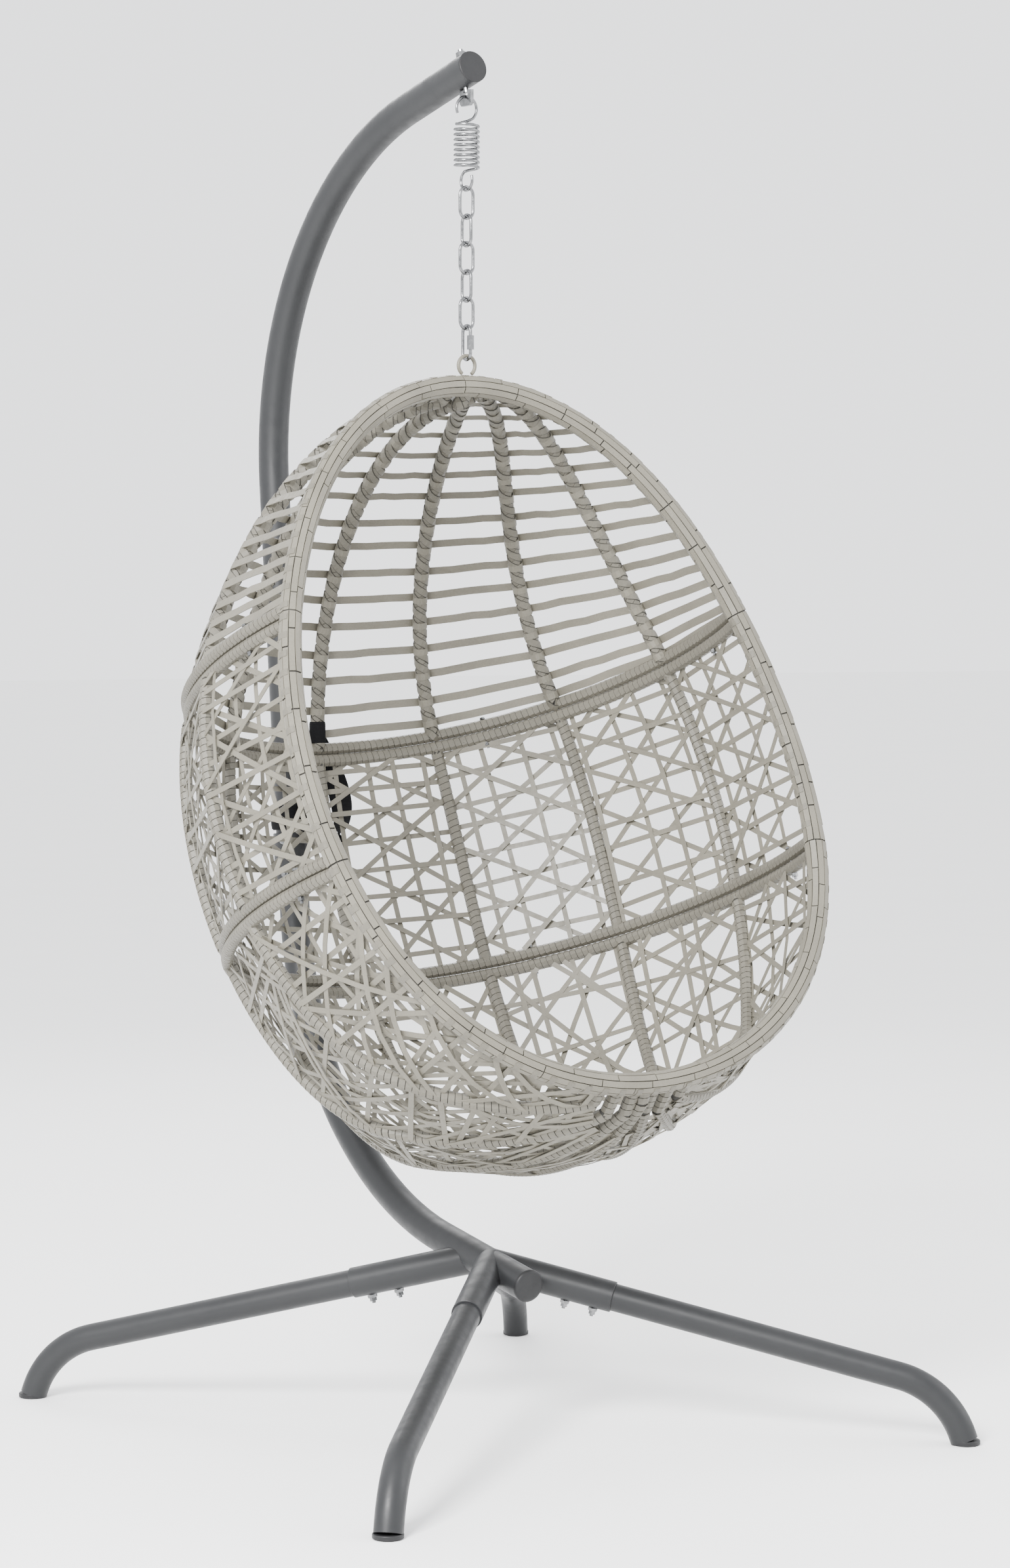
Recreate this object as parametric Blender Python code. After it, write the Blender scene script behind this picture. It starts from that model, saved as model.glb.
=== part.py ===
# Hanging egg chair: a four-legged C-stand, a spring and chain, and a woven egg basket.
# Metres, +Z up. The chair faces -Y. The origin is on the ground straight below the chain.

import math

import bmesh
import bpy
from mathutils import Matrix, Vector

# Stand: the post is one bend line in the plane x = 0, given as (y, z) corners with equal fillets.
POST_RADIUS = 0.023
POST_WALL = 0.002
POST_CORNERS = ((-0.0145, 1.930), (0.5637, 1.785), (0.4355, 0.325), (-0.1505, 0.2165))
POST_BEND = 0.5
POST_SIDES = 12
POST_SPLIT_Z = 0.790
SLEEVE_Z = (0.748, 0.824)
SLEEVE_RADIUS = 0.0275
POST_LOOP_Z = (0.829, 0.865)
POST_LOOP_RADIUS = 0.030

# Legs: foot centres on the ground, and where each leg's line meets the post's line at x = 0.
LEG_RADIUS = 0.0195
LEG_SIDES = 10
LEG_WALL = 0.0015
LEG_BEND = 0.125
LEG_FOOT_ANGLE = math.radians(71.0)
LEG_RISE = 0.2442
LEG_BASE_Z = 0.071
REAR_FOOT = (0.436, 0.503)
REAR_CROSSING_Y = -0.009
FRONT_FOOT = (0.480, -0.531)
FRONT_CROSSING_Y = -0.061
SOCKET_RADIUS = 0.022
SOCKET_START = 0.4962
LEG_INNER_END = 0.600
LEG_BOLT_PLACES = (0.520, 0.560)
FOOT_CAP_HEIGHT = 0.005

# Suspension: heights down the vertical line x = y = 0.
EYE_PLATE_BOTTOM = 1.8766
EYE_CLEARANCE = 0.0045
EYE_HALF_WIDTH = 0.014
EYE_THICKNESS = 0.005
EYE_CORNER = 0.004
EYE_HOLE_RADIUS = 0.006
EYE_STUD_RADIUS = 0.004
EYE_STUD_SUNK = 0.003
EYE_STUD_ABOVE = 0.011
EYE_NUT_RADIUS = 0.0075
EYE_NUT_HEIGHT = 0.0065
HOOK_TOP_Z = 1.8899
SPRING_WIRE = 0.0021
SPRING_RADIUS = 0.0169
COIL_TOP_Z = 1.8505
COIL_PITCH = 0.0072
COIL_TURNS = 8.45
LOWER_HOOK_RADIUS = 0.0140
LOWER_HOOK_Z = 1.7718
LINK_WIRE = 0.00235
LINK_HALF_WIDTH = 0.01115
LINK_LENGTH = 0.0441
LINK_COUNT = 5
QUICK_LINK_WIRE = 0.0025
QUICK_LINK_HALF_WIDTH = 0.0095
QUICK_LINK_LENGTH = 0.0485
RING_RADIUS = 0.014
RING_WIRE = 0.0027

# Basket: rim line, back profile and section shape of the egg, measured on the ribs' centre lines.
RIM_TOP = (-0.002, 1.4813)
RIM_BOTTOM = (-0.4273, 0.5285)
RIM_HALF_WIDTH = 0.411
RIM_SECTION = (0.0150, 0.0140)
DOME_CENTRE_Z = 0.9875
DOME_DEPTH = 0.4025
DOME_HEIGHT = 0.471
BACK_CURVE = ((0.4025, 0.9875), (0.4025, 0.800), (0.2145, 0.3725), (-0.0555, 0.3725))
FRONT_CURVE = ((-0.0555, 0.3725), (-0.2155, 0.3725), (-0.3655, 0.430), (-0.4273, 0.515))
UPPER_SEAM = 71.1
LOWER_SEAM = 111.45
SEAM_TRIM = 0.06
SIDE_ANGLE = 108.0
RIB_SPACING = 27.0
RIB_FAN = 40.0
RIB_RADIUS = 0.008
HOOP_RADIUS = 0.0088
HOOP_OFFSET = 0.0093
FRAME_SIDES = 6
TOP_RIB_STARTS = (1.0, 5.0, 8.0, 14.0)
TOP_RIB_POINTS = 8
BOTTOM_RIB_ENDS = (178.0, 175.0, 173.0, 171.0)
RIB_TURN_IN = 3.0
WEAVE_INNER = 0.0129
WEAVE_THICKNESS = {"top": 0.0015, "middle": 0.0015, "bottom": 0.0030}
SEAM_BOLT_PLACES = {"upper": (-96.0, -40.0, 38.0, 96.0), "lower": (-98.0, -40.0, 36.0, 98.0)}

# Stay strap: where its loop sits on the back rib's lowest span, that loop's half height and
# radii, and the slack run's knots, each with half the strap's width there.
RIB_LOOP_SHARE = 0.25
RIB_LOOP = (0.015, 0.0096, 0.0115)
STRAP_THICKNESS = 0.002
STRAP_KNOTS = ((0.004, 0.421, 0.965), (0.046, 0.426, 0.905), (0.060, 0.428, 0.850),
               (0.048, 0.435, 0.812), (0.006, 0.4435, 0.838))
STRAP_HALF_WIDTHS = ((0.016, 0.0, 0.0), (0.014, 0.004, 0.010), (0.012, 0.003, 0.016),
                     (0.006, 0.001, 0.018), (0.0, 0.002, 0.018))

GAP = 0.0004
HOOK_GAP = 0.0007
CONTACT_GAP = 0.0003

UP = Vector((0, 0, 1))
RIGHT = Vector((1, 0, 0))
BACK = Vector((0, 1, 0))


def clear_objects():
    for obj in list(bpy.data.objects):
        bpy.data.objects.remove(obj, do_unlink=True)


def make_material(name, colour, roughness, metallic):
    material = bpy.data.materials.new(name)
    material.use_nodes = True
    shader = material.node_tree.nodes["Principled BSDF"]
    shader.inputs["Base Color"].default_value = (*colour, 1.0)
    shader.inputs["Roughness"].default_value = roughness
    shader.inputs["Metallic"].default_value = metallic
    return material


def make_object(name, verts, faces, material, parent, origin=(0, 0, 0), sharp=40.0):
    """Add a named solid whose points are given in world space."""
    origin = Vector(origin)
    mesh = bpy.data.meshes.new(name)
    mesh.from_pydata([Vector(v) - origin for v in verts], [], faces)
    work = bmesh.new()
    work.from_mesh(mesh)
    bmesh.ops.recalc_face_normals(work, faces=work.faces)
    work.to_mesh(mesh)
    work.free()
    mesh.shade_smooth()
    mesh.set_sharp_from_angle(angle=math.radians(sharp))
    mesh.materials.append(material)
    obj = bpy.data.objects.new(name, mesh)
    bpy.context.scene.collection.objects.link(obj)
    obj.location = origin
    if parent:
        obj.parent = parent
        obj.matrix_parent_inverse = Matrix.Translation(parent.location).inverted()
    return obj


def make_pivot(name, location):
    pivot = bpy.data.objects.new(name, None)
    pivot.location = location
    bpy.context.scene.collection.objects.link(pivot)
    return pivot


def cut(obj, cutter_parts, solver="EXACT"):
    """Subtract closed cutters, kept in the file as hidden wire guides."""
    for index, (verts, faces) in enumerate(cutter_parts):
        guide = make_object(f"{obj.name}_cutter_{index}", verts, faces, obj.data.materials[0], None)
        guide.hide_render = True
        guide.display_type = "WIRE"
        change = obj.modifiers.new(f"cut_{index}", "BOOLEAN")
        change.operation = "DIFFERENCE"
        change.solver = solver
        change.object = guide


def join(obj, parts):
    """Weld closed parts onto an object with exact unions."""
    for index, (verts, faces) in enumerate(parts):
        guide = make_object(f"{obj.name}_member_{index}", verts, faces, obj.data.materials[0], None)
        guide.hide_render = True
        guide.display_type = "WIRE"
        change = obj.modifiers.new(f"join_{index}", "BOOLEAN")
        change.operation = "UNION"
        change.object = guide


# Path and sweep helpers.

def bezier(points, t):
    """A cubic through (y, z) handles."""
    weights = ((1 - t) ** 3, 3 * t * (1 - t) ** 2, 3 * t * t * (1 - t), t ** 3)
    return (sum(w * p[0] for w, p in zip(weights, points)),
            sum(w * p[1] for w, p in zip(weights, points)))


def hermite(start, start_way, end, end_way, steps):
    """Points of a smooth curve between two points with given directions, ends left out."""
    result = []
    for index in range(1, steps):
        t = index / steps
        result.append(start * (2 * t ** 3 - 3 * t * t + 1) + start_way * (t ** 3 - 2 * t * t + t)
                      + end * (3 * t * t - 2 * t ** 3) + end_way * (t ** 3 - t * t))
    return result


def filleted(corners, radius, step):
    """A 3-D polyline whose inner corners are arcs of one radius."""
    points = [corners[0]]
    for before, corner, after in zip(corners, corners[1:], corners[2:]):
        inward = (corner - before).normalized()
        outward = (after - corner).normalized()
        turn = inward.angle(outward)
        reach = radius * math.tan(turn / 2)
        side = (outward - inward * outward.dot(inward)).normalized()
        centre = corner - inward * reach + side * radius
        count = max(2, math.ceil(turn / step))
        for index in range(count + 1):
            angle = turn * index / count
            points.append(centre + inward * radius * math.sin(angle) - side * radius * math.cos(angle))
    points.append(corners[-1])
    return points


def tangents(path, closed):
    count = len(path)
    ways = []
    for index in range(count):
        if closed:
            ahead, behind = path[(index + 1) % count], path[index - 1]
        else:
            ahead, behind = path[min(index + 1, count - 1)], path[max(index - 1, 0)]
        ways.append((ahead - behind).normalized())
    return ways


def sweep_rings(path, side, width, height, sides, closed=False):
    """Elliptical rings carried along a path without twist."""
    ways = tangents(path, closed)
    side = Vector(side)
    rings = []
    for point, way in zip(path, ways):
        side = (side - way * side.dot(way)).normalized()
        third = way.cross(side)
        ring = []
        for index in range(sides):
            angle = math.tau * (index + 0.5) / sides
            ring.append(point + side * width * math.cos(angle) + third * height * math.sin(angle))
        rings.append(ring)
    return rings


def ring_faces(count, sides, closed, start=0, flip=False):
    faces = []
    for row in range(count if closed else count - 1):
        for index in range(sides):
            a = start + row * sides + index
            b = start + row * sides + (index + 1) % sides
            c = start + ((row + 1) % count) * sides + (index + 1) % sides
            d = start + ((row + 1) % count) * sides + index
            faces.append((d, c, b, a) if flip else (a, b, c, d))
    return faces


def loft(rings):
    """A closed solid through rings of equal point count, with flat ends."""
    sides = len(rings[0])
    verts = [v for ring in rings for v in ring]
    faces = ring_faces(len(rings), sides, False)
    faces.append(tuple(reversed(range(sides))))
    faces.append(tuple(len(verts) - sides + i for i in range(sides)))
    return verts, faces


def rod(path, radius, sides=8, side=RIGHT, height=None):
    return loft(sweep_rings(path, side, radius, height or radius, sides))


def torus(path, radius, sides=8, side=BACK):
    rings = sweep_rings(path, side, radius, radius, sides, closed=True)
    return [v for ring in rings for v in ring], ring_faces(len(rings), sides, True)


def pipe(path, outer, inner, sides, side=RIGHT):
    """A hollow tube, open at both ends."""
    outside = sweep_rings(path, side, outer, outer, sides)
    inside = sweep_rings(path, side, inner, inner, sides)
    return pipe_from_rings(outside, inside)


def pipe_from_rings(outside, inside):
    sides, count = len(outside[0]), len(outside)
    verts = [v for ring in outside for v in ring] + [v for ring in inside for v in ring]
    start = count * sides
    faces = ring_faces(count, sides, False) + ring_faces(count, sides, False, start, True)
    for row in (0, count - 1):
        for index in range(sides):
            a = row * sides + index
            b = row * sides + (index + 1) % sides
            quad = (a, a + start, b + start, b)
            faces.append(quad if row == 0 else quad[::-1])
    return verts, faces


def turned(origin, axis, profile, sides, first=None):
    """A solid of revolution: profile gives (height along the axis, radius) pairs."""
    axis = Vector(axis).normalized()
    side = Vector(first) if first else axis.orthogonal()
    side = (side - axis * side.dot(axis)).normalized()
    third = axis.cross(side)
    rings = []
    for height, radius in profile:
        ring = []
        for index in range(sides):
            angle = math.tau * index / sides
            ring.append(Vector(origin) + axis * height
                        + (side * math.cos(angle) + third * math.sin(angle)) * radius)
        rings.append(ring)
    return loft(rings)


def collar(origin, axis, low, high, inner, outer, sides, first=None):
    """A ring around an axis between two heights."""
    axis = Vector(axis).normalized()
    side = Vector(first) if first else axis.orthogonal()
    side = (side - axis * side.dot(axis)).normalized()
    path = [Vector(origin) + axis * low, Vector(origin) + axis * high]
    return pipe(path, outer, inner, sides, side)


def block(corner, opposite):
    """A box between two corners."""
    low = [min(pair) for pair in zip(corner, opposite)]
    high = [max(pair) for pair in zip(corner, opposite)]
    rings = [[Vector((low[0], low[1], z)), Vector((high[0], low[1], z)),
              Vector((high[0], high[1], z)), Vector((low[0], high[1], z))] for z in (low[2], high[2])]
    return loft(rings)


# The egg's surface: theta runs down the rim from its top (0) to its bottom (180), alpha runs
# round each section from the back (0) to the rim (plus or minus SIDE_ANGLE).

def rim_point(theta, sign=1):
    c, s = math.cos(math.radians(theta)), math.sin(math.radians(theta))
    rise = Vector((0, RIM_TOP[0] - RIM_BOTTOM[0], RIM_TOP[1] - RIM_BOTTOM[1]))
    forward = Vector((0, -rise.z, rise.y)).normalized()
    half = RIM_HALF_WIDTH * s * (1 - 0.1054 * c + 0.078 * c * c)
    bulge = s * s * (-0.0072 - 0.0098 * c + 0.0243 * c * c)
    base = Vector((0, RIM_BOTTOM[0], RIM_BOTTOM[1]))
    return base + rise * (1 + c) / 2 + forward * bulge + RIGHT * half * sign


def profile_point(theta):
    """The egg's centre line down its back: dome, back and underside."""
    u = 0.0238430 * theta - 1.785660e-4 * theta ** 2 + 7.705419e-7 * theta ** 3
    if u < 1:
        angle = u * math.pi / 2
        return Vector((0, DOME_DEPTH * math.sin(angle),
                       DOME_CENTRE_Z + DOME_HEIGHT * math.cos(angle)))
    y, z = bezier(BACK_CURVE, u - 1) if u < 2 else bezier(FRONT_CURVE, min(u - 2, 1))
    return Vector((0, y, z))


def egg_point(theta, alpha):
    rim, back = rim_point(theta), profile_point(theta)
    side = math.cos(math.radians(SIDE_ANGLE))
    depth = (math.cos(math.radians(alpha)) - side) / (1 - side)
    x = rim.x * math.sin(math.radians(alpha)) / math.sin(math.radians(SIDE_ANGLE))
    rim.x = 0
    return rim.lerp(back, depth) + RIGHT * x


def egg_normal(theta, alpha):
    """The outward direction of the egg's wall."""
    step = 0.5
    down = egg_point(theta + step, alpha) - egg_point(theta - step, alpha)
    across = egg_point(theta, alpha + step) - egg_point(theta, alpha - step)
    return across.cross(down).normalized()


def rib_alpha(index, theta):
    """Ribs stand at even angles and fan out towards the top of the dome."""
    above = max(0.0, (UPPER_SEAM - theta) / UPPER_SEAM)
    return RIB_SPACING * index + RIB_FAN * math.sin(math.radians(45.0 * index)) * above ** 2.7


def seam_axis(theta):
    """The direction square to a seam's plane, pointing up."""
    rim, back = rim_point(theta), profile_point(theta)
    inward = Vector((0, back.y - rim.y, back.z - rim.z))
    return RIGHT.cross(inward).normalized()


def spread(start, end, count):
    return [start + (end - start) * i / (count - 1) for i in range(count)]


# Stand.

def post_path(step=math.radians(9.0)):
    return filleted([Vector((0, y, z)) for y, z in POST_CORNERS], POST_BEND, step)


def split_post(path):
    """Cut the post's line into its upper and lower tubes, inside the sleeve."""
    for index in range(1, len(path)):
        if path[index].z < POST_SPLIT_Z <= path[index - 1].z and path[index].y > 0:
            share = (path[index - 1].z - POST_SPLIT_Z) / (path[index - 1].z - path[index].z)
            joint = path[index - 1].lerp(path[index], share)
            way = (path[index] - path[index - 1]).normalized()
            upper = path[:index] + [joint - way * GAP / 2]
            lower = [joint + way * GAP / 2] + path[index:]
            return upper, lower, joint, -way
    raise ValueError("the post's line never reaches the split height")


def build_post(stand, steel, black, zinc):
    path = post_path()
    upper, lower, joint, upright = split_post(path)
    inner = POST_RADIUS - POST_WALL
    top = make_object("post_upper", *pipe(upper, POST_RADIUS, inner, POST_SIDES), steel, stand)
    make_object("post_lower", *pipe(lower, POST_RADIUS, inner, POST_SIDES), steel, stand)

    def along(z):
        return (z - joint.z) / upright.z

    bore = POST_RADIUS + GAP
    sleeve = make_object("post_sleeve", *collar(joint, upright, along(SLEEVE_Z[0]), along(SLEEVE_Z[1]),
                                                bore, SLEEVE_RADIUS, POST_SIDES, RIGHT), steel, stand)
    make_object("strap_post_loop", *collar(joint, upright, along(POST_LOOP_Z[0]), along(POST_LOOP_Z[1]),
                                           bore, POST_LOOP_RADIUS, POST_SIDES, RIGHT), black, stand)
    side = Vector((-0.82, -0.57, 0)).normalized()
    holes = []
    for index, z in enumerate((0.812, 0.762)):
        centre = joint + upright * along(z)
        way = (side - upright * side.dot(upright)).normalized()
        seat = SLEEVE_RADIUS + GAP
        profile = [(POST_RADIUS + GAP * 2, 0.0028), (seat, 0.0028), (seat, 0.0060),
                   (seat + 0.005, 0.0060), (seat + 0.005, 0.0028), (seat + 0.008, 0.0028)]
        make_object(f"sleeve_bolt_{'upper' if index == 0 else 'lower'}",
                    *turned(centre, way, profile, 8, UP), zinc, stand)
        holes.append(turned(centre, way, [(POST_RADIUS, 0.0033), (SLEEVE_RADIUS + 0.01, 0.0033)], 8, UP))
    cut(sleeve, holes)

    plug = inner * math.cos(math.pi / POST_SIDES) - GAP
    end = path[0]
    outward = (path[0] - path[1]).normalized()
    cap = [(-0.012, plug), (GAP, plug), (GAP, POST_RADIUS),
           (0.0018, POST_RADIUS), (0.0024, POST_RADIUS - 0.0012)]
    make_object("post_top_cap", *turned(end, outward, cap, POST_SIDES, RIGHT), black, stand)
    end = path[-1]
    outward = (path[-1] - path[-2]).normalized()
    cap = [(-0.016, plug), (GAP, plug), (GAP, POST_RADIUS + 0.0006),
           (0.0035, POST_RADIUS + 0.0006), (0.0060, POST_RADIUS - 0.0012), (0.0068, POST_RADIUS - 0.0045)]
    make_object("post_front_cap", *turned(end, outward, cap, POST_SIDES, RIGHT), black, stand)
    return top


def build_eye(stand, top_tube, zinc):
    """The eye bolt through the post: a drilled plate on a stud, held by a nut on top."""
    base = Vector((0, *POST_CORNERS[0]))
    slope = (Vector((0, *POST_CORNERS[1])) - base).normalized()
    normal = RIGHT.cross(slope).normalized()
    above = base - slope * (base.y / slope.y)
    low = EYE_PLATE_BOTTOM
    high = above.z - POST_RADIUS - EYE_CLEARANCE
    foot = Vector((0, 0, high - EYE_STUD_SUNK))
    centre = base + slope * (foot - base).dot(slope)
    bore = EYE_STUD_RADIUS + GAP
    reach = POST_RADIUS * 2
    cut(top_tube, [turned(centre, normal, [(-reach, bore), (reach, bore)], 12, RIGHT)])

    half = EYE_HALF_WIDTH
    corner = EYE_CORNER
    outline = [(-half, high), (-half, low + corner), (-half + corner, low),
               (half - corner, low), (half, low + corner), (half, high)]
    thick = EYE_THICKNESS / 2
    rings = [[Vector((x, y, z)) for y, z in outline] for x in (-thick, thick)]
    plate = make_object("eye_bolt", *loft(rings), zinc, stand)
    hole_z = HOOK_TOP_Z - SPRING_WIRE - HOOK_GAP + EYE_HOLE_RADIUS
    hole = turned((0, 0, hole_z), RIGHT, [(-half, EYE_HOLE_RADIUS), (half, EYE_HOLE_RADIUS)], 16, UP)
    cut(plate, [hole])
    length = (centre - foot).dot(normal) + POST_RADIUS + EYE_STUD_ABOVE
    join(plate, [turned(foot, normal, [(0, EYE_STUD_RADIUS), (length, EYE_STUD_RADIUS)], 12, RIGHT)])

    nut_low = POST_RADIUS + GAP
    nut_bore = bore / math.cos(math.pi / 6)
    make_object("eye_nut", *collar(centre, normal, nut_low, nut_low + EYE_NUT_HEIGHT, nut_bore,
                                   EYE_NUT_RADIUS, 6, RIGHT), zinc, stand)


def leg_path(foot, crossing_y):
    """The leg's centre line from its inner end to the floor, and its outward direction."""
    inner = Vector((0, crossing_y, 0))
    outer = Vector((foot[0], foot[1], 0))
    outward = (outer - inner).normalized()
    slope = math.atan(LEG_RISE)
    end = LEG_FOOT_ANGLE
    drop = LEG_BASE_Z - LEG_BEND * (math.cos(slope) - math.cos(end))
    run = LEG_BEND * (math.sin(end) - math.sin(slope))
    straight = (drop + LEG_RISE * run) / (math.sin(end) - LEG_RISE * math.cos(end))
    start = run + straight * math.cos(end)

    def place(t, z):
        return outer - outward * t + UP * z

    points = [place(LEG_INNER_END, LEG_BASE_Z + LEG_RISE * LEG_INNER_END)]
    bend_z = LEG_BASE_Z + LEG_RISE * start
    count = 7
    for index in range(count + 1):
        angle = slope + (end - slope) * index / count
        points.append(place(start - LEG_BEND * (math.sin(angle) - math.sin(slope)),
                            bend_z - LEG_BEND * (math.cos(slope) - math.cos(angle))))
    points.append(place(0, 0))
    return points, outward, place


def flatten_end(rings, way, z):
    """Slide the last ring along the tube so that it lies level."""
    rings[-1] = [v + way * ((z - v.z) / way.z) for v in rings[-1]]


def build_leg(stand, name, foot, crossing_y, steel, black, zinc):
    path, outward, place = leg_path(foot, crossing_y)
    across = UP.cross(outward)
    outside = sweep_rings(path, across, LEG_RADIUS, LEG_RADIUS, LEG_SIDES)
    inside = sweep_rings(path, across, LEG_RADIUS - LEG_WALL, LEG_RADIUS - LEG_WALL, LEG_SIDES)
    down = (path[-1] - path[-2]).normalized()
    flatten_end(outside, down, FOOT_CAP_HEIGHT + GAP)
    flatten_end(inside, down, FOOT_CAP_HEIGHT + GAP)
    leg = make_object(f"leg_{name}", *pipe_from_rings(outside, inside), steel, stand)

    crossing = (Vector((foot[0], foot[1], 0)) - Vector((0, crossing_y, 0))).length
    socket_path = [place(t, LEG_BASE_Z + LEG_RISE * t)
                   for t in (SOCKET_START, crossing + 2 * SOCKET_RADIUS)]
    tube = pipe(socket_path, SOCKET_RADIUS, LEG_RADIUS + GAP, LEG_SIDES, across)
    socket = make_object(f"leg_socket_{name}", *tube, steel, stand)
    axis = (socket_path[1] - socket_path[0]).normalized()
    below = axis.cross(across).normalized()
    if below.z > 0:
        below.negate()
    bolts = []
    for index, t in enumerate(LEG_BOLT_PLACES):
        centre = place(t, LEG_BASE_Z + LEG_RISE * t)
        seat = SOCKET_RADIUS + GAP
        profile = [(LEG_RADIUS - 0.008, 0.0028), (seat, 0.0028), (seat, 0.0075), (seat + 0.004, 0.0070),
                   (seat + 0.004, 0.0052), (seat + 0.009, 0.0052), (seat + 0.009, 0.0028),
                   (seat + 0.012, 0.0028)]
        make_object(f"leg_bolt_{name}_{index + 1}", *turned(centre, below, profile, 6, across), zinc, stand)
        bolts.append(turned(centre, below, [(0.008, 0.0033), (0.03, 0.0033)], 6, across))
    cut(leg, bolts)
    post_line = [point for point in post_path() if point.z < 0.5]
    post_line.append(post_line[-1] + (post_line[-1] - post_line[-2]).normalized() * 0.05)
    neighbour = math.copysign(0.1, -foot[0])
    middle = (REAR_CROSSING_Y + FRONT_CROSSING_Y) / 2
    limit = math.copysign(0.1, -foot[1])
    walls = [block((neighbour, -0.2, 0.1), (math.copysign(GAP, foot[0]), 0.2, 0.4)),
             block((-0.1, middle + limit, 0.1), (0.1, middle + math.copysign(GAP, foot[1]), 0.4))]
    cut(socket, bolts + [rod(post_line, POST_RADIUS + GAP, POST_SIDES)] + walls, "MANIFOLD")

    lean = outward / math.tan(LEG_FOOT_ANGLE)
    rings = []
    long = LEG_RADIUS / math.sin(LEG_FOOT_ANGLE)
    plug = (LEG_RADIUS - LEG_WALL) * math.cos(math.pi / LEG_SIDES) - GAP
    for z, length, width in ((0.0, long - 0.003, LEG_RADIUS - 0.003), (0.0015, long, LEG_RADIUS),
                             (FOOT_CAP_HEIGHT, long, LEG_RADIUS), (FOOT_CAP_HEIGHT, plug, plug),
                             (0.016, plug, plug)):
        ring = []
        for index in range(LEG_SIDES):
            angle = math.tau * (index + 0.5) / LEG_SIDES
            ring.append(Vector((foot[0], foot[1], z)) - lean * z
                        + outward * length * math.cos(angle) + across * width * math.sin(angle))
        rings.append(ring)
    make_object(f"foot_cap_{name}", *loft(rings), black, stand)


# Suspension.

def hook_point(angle, centre_z, radius):
    """A point of a hook's circle in the plane y = 0."""
    return Vector((radius * math.cos(angle), 0, centre_z + radius * math.sin(angle)))


def spring_path():
    """Upper hook in the XZ plane, coil, lower hook in the YZ plane, as one wire."""
    upper_z = HOOK_TOP_Z - SPRING_RADIUS
    path = [hook_point(math.radians(a), upper_z, SPRING_RADIUS) for a in spread(205, -50, 11)]
    way = Vector((-math.sin(math.radians(50)), 0, -math.cos(math.radians(50))))
    start = Vector((-SPRING_RADIUS, 0, COIL_TOP_Z))
    reach = SPRING_RADIUS * 1.3
    path += hermite(path[-1], way * reach, start, -BACK * reach, 5)
    per_turn = 10
    for index in range(round(COIL_TURNS * per_turn) + 1):
        angle = math.pi + math.tau * index / per_turn
        drop = COIL_PITCH * index / per_turn
        path.append(Vector((SPRING_RADIUS * math.cos(angle), SPRING_RADIUS * math.sin(angle),
                            COIL_TOP_Z - drop)))
    way = (path[-1] - path[-2]).normalized()
    hook = []
    for a in spread(60, -205, 10):
        angle = math.radians(a)
        hook.append(Vector((0, LOWER_HOOK_RADIUS * math.cos(angle),
                            LOWER_HOOK_Z + LOWER_HOOK_RADIUS * math.sin(angle))))
    arrive = (hook[1] - hook[0]).normalized()
    path += hermite(path[-1], way * reach, hook[0], arrive * reach * 0.6, 5)
    return path + hook


def stadium(centre_z, length, half_width, side, steps=3):
    """A chain link's closed centre line: two half circles joined by straight legs."""
    straight = length / 2 - half_width
    points = []
    for sign in (1, -1):
        for angle in spread(0, math.pi, 2 * steps + 1):
            offset = side * half_width * math.cos(angle) * sign
            points.append(offset + UP * (centre_z + sign * (straight + half_width * math.sin(angle))))
    return points


def link_top_z(index):
    """The height of a link's upper wire: each hangs on the lower wire of the one above."""
    hook_bottom = LOWER_HOOK_Z - LOWER_HOOK_RADIUS
    first = hook_bottom + SPRING_WIRE + LINK_WIRE + CONTACT_GAP
    step = LINK_LENGTH - 2 * LINK_WIRE - CONTACT_GAP
    return first - step * index


def build_suspension(zinc):
    spring_pivot = make_pivot("spring_pivot", (0, 0, HOOK_TOP_Z))
    make_object("spring", *rod(spring_path(), SPRING_WIRE, 5, BACK), zinc, spring_pivot,
                (0, 0, HOOK_TOP_Z))
    for index in range(LINK_COUNT):
        top = link_top_z(index)
        side, flat = (RIGHT, BACK) if index % 2 == 0 else (BACK, RIGHT)
        line = stadium(top - LINK_LENGTH / 2, LINK_LENGTH, LINK_HALF_WIDTH, side)
        pivot = top - LINK_WIRE * 2 - CONTACT_GAP
        make_object(f"chain_link_{index + 1}", *torus(line, LINK_WIRE, 6, flat), zinc, None,
                    (0, 0, pivot))
    last_bottom = link_top_z(LINK_COUNT - 1) - LINK_LENGTH
    top = last_bottom + LINK_WIRE + QUICK_LINK_WIRE + CONTACT_GAP
    return build_quick_link(top, last_bottom, zinc)


def build_quick_link(top, pivot_z, zinc):
    """An open link whose gap a threaded sleeve closes, on its front leg."""
    centre = top - QUICK_LINK_LENGTH / 2
    half = QUICK_LINK_HALF_WIDTH
    straight = QUICK_LINK_LENGTH / 2 - half
    front = -BACK * half
    line = [front + UP * (centre - 0.003)]
    line += [UP * (centre - straight) + BACK * half * -math.cos(a) - UP * half * math.sin(a)
             for a in spread(0, math.pi, 9)]
    line += [UP * (centre + straight) + BACK * half * math.cos(a) + UP * half * math.sin(a)
             for a in spread(0, math.pi, 9)]
    line.append(front + UP * (centre + 0.003))
    make_object("quick_link", *rod(line, QUICK_LINK_WIRE, 8, RIGHT), zinc, None, (0, 0, pivot_z))
    nut = collar(front + UP * centre, UP, -0.0105, 0.0095, QUICK_LINK_WIRE + GAP, 0.0050, 6, RIGHT)
    make_object("quick_link_nut", *nut, zinc, None, front + UP * centre)
    return top - QUICK_LINK_LENGTH


# Basket.

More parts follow.
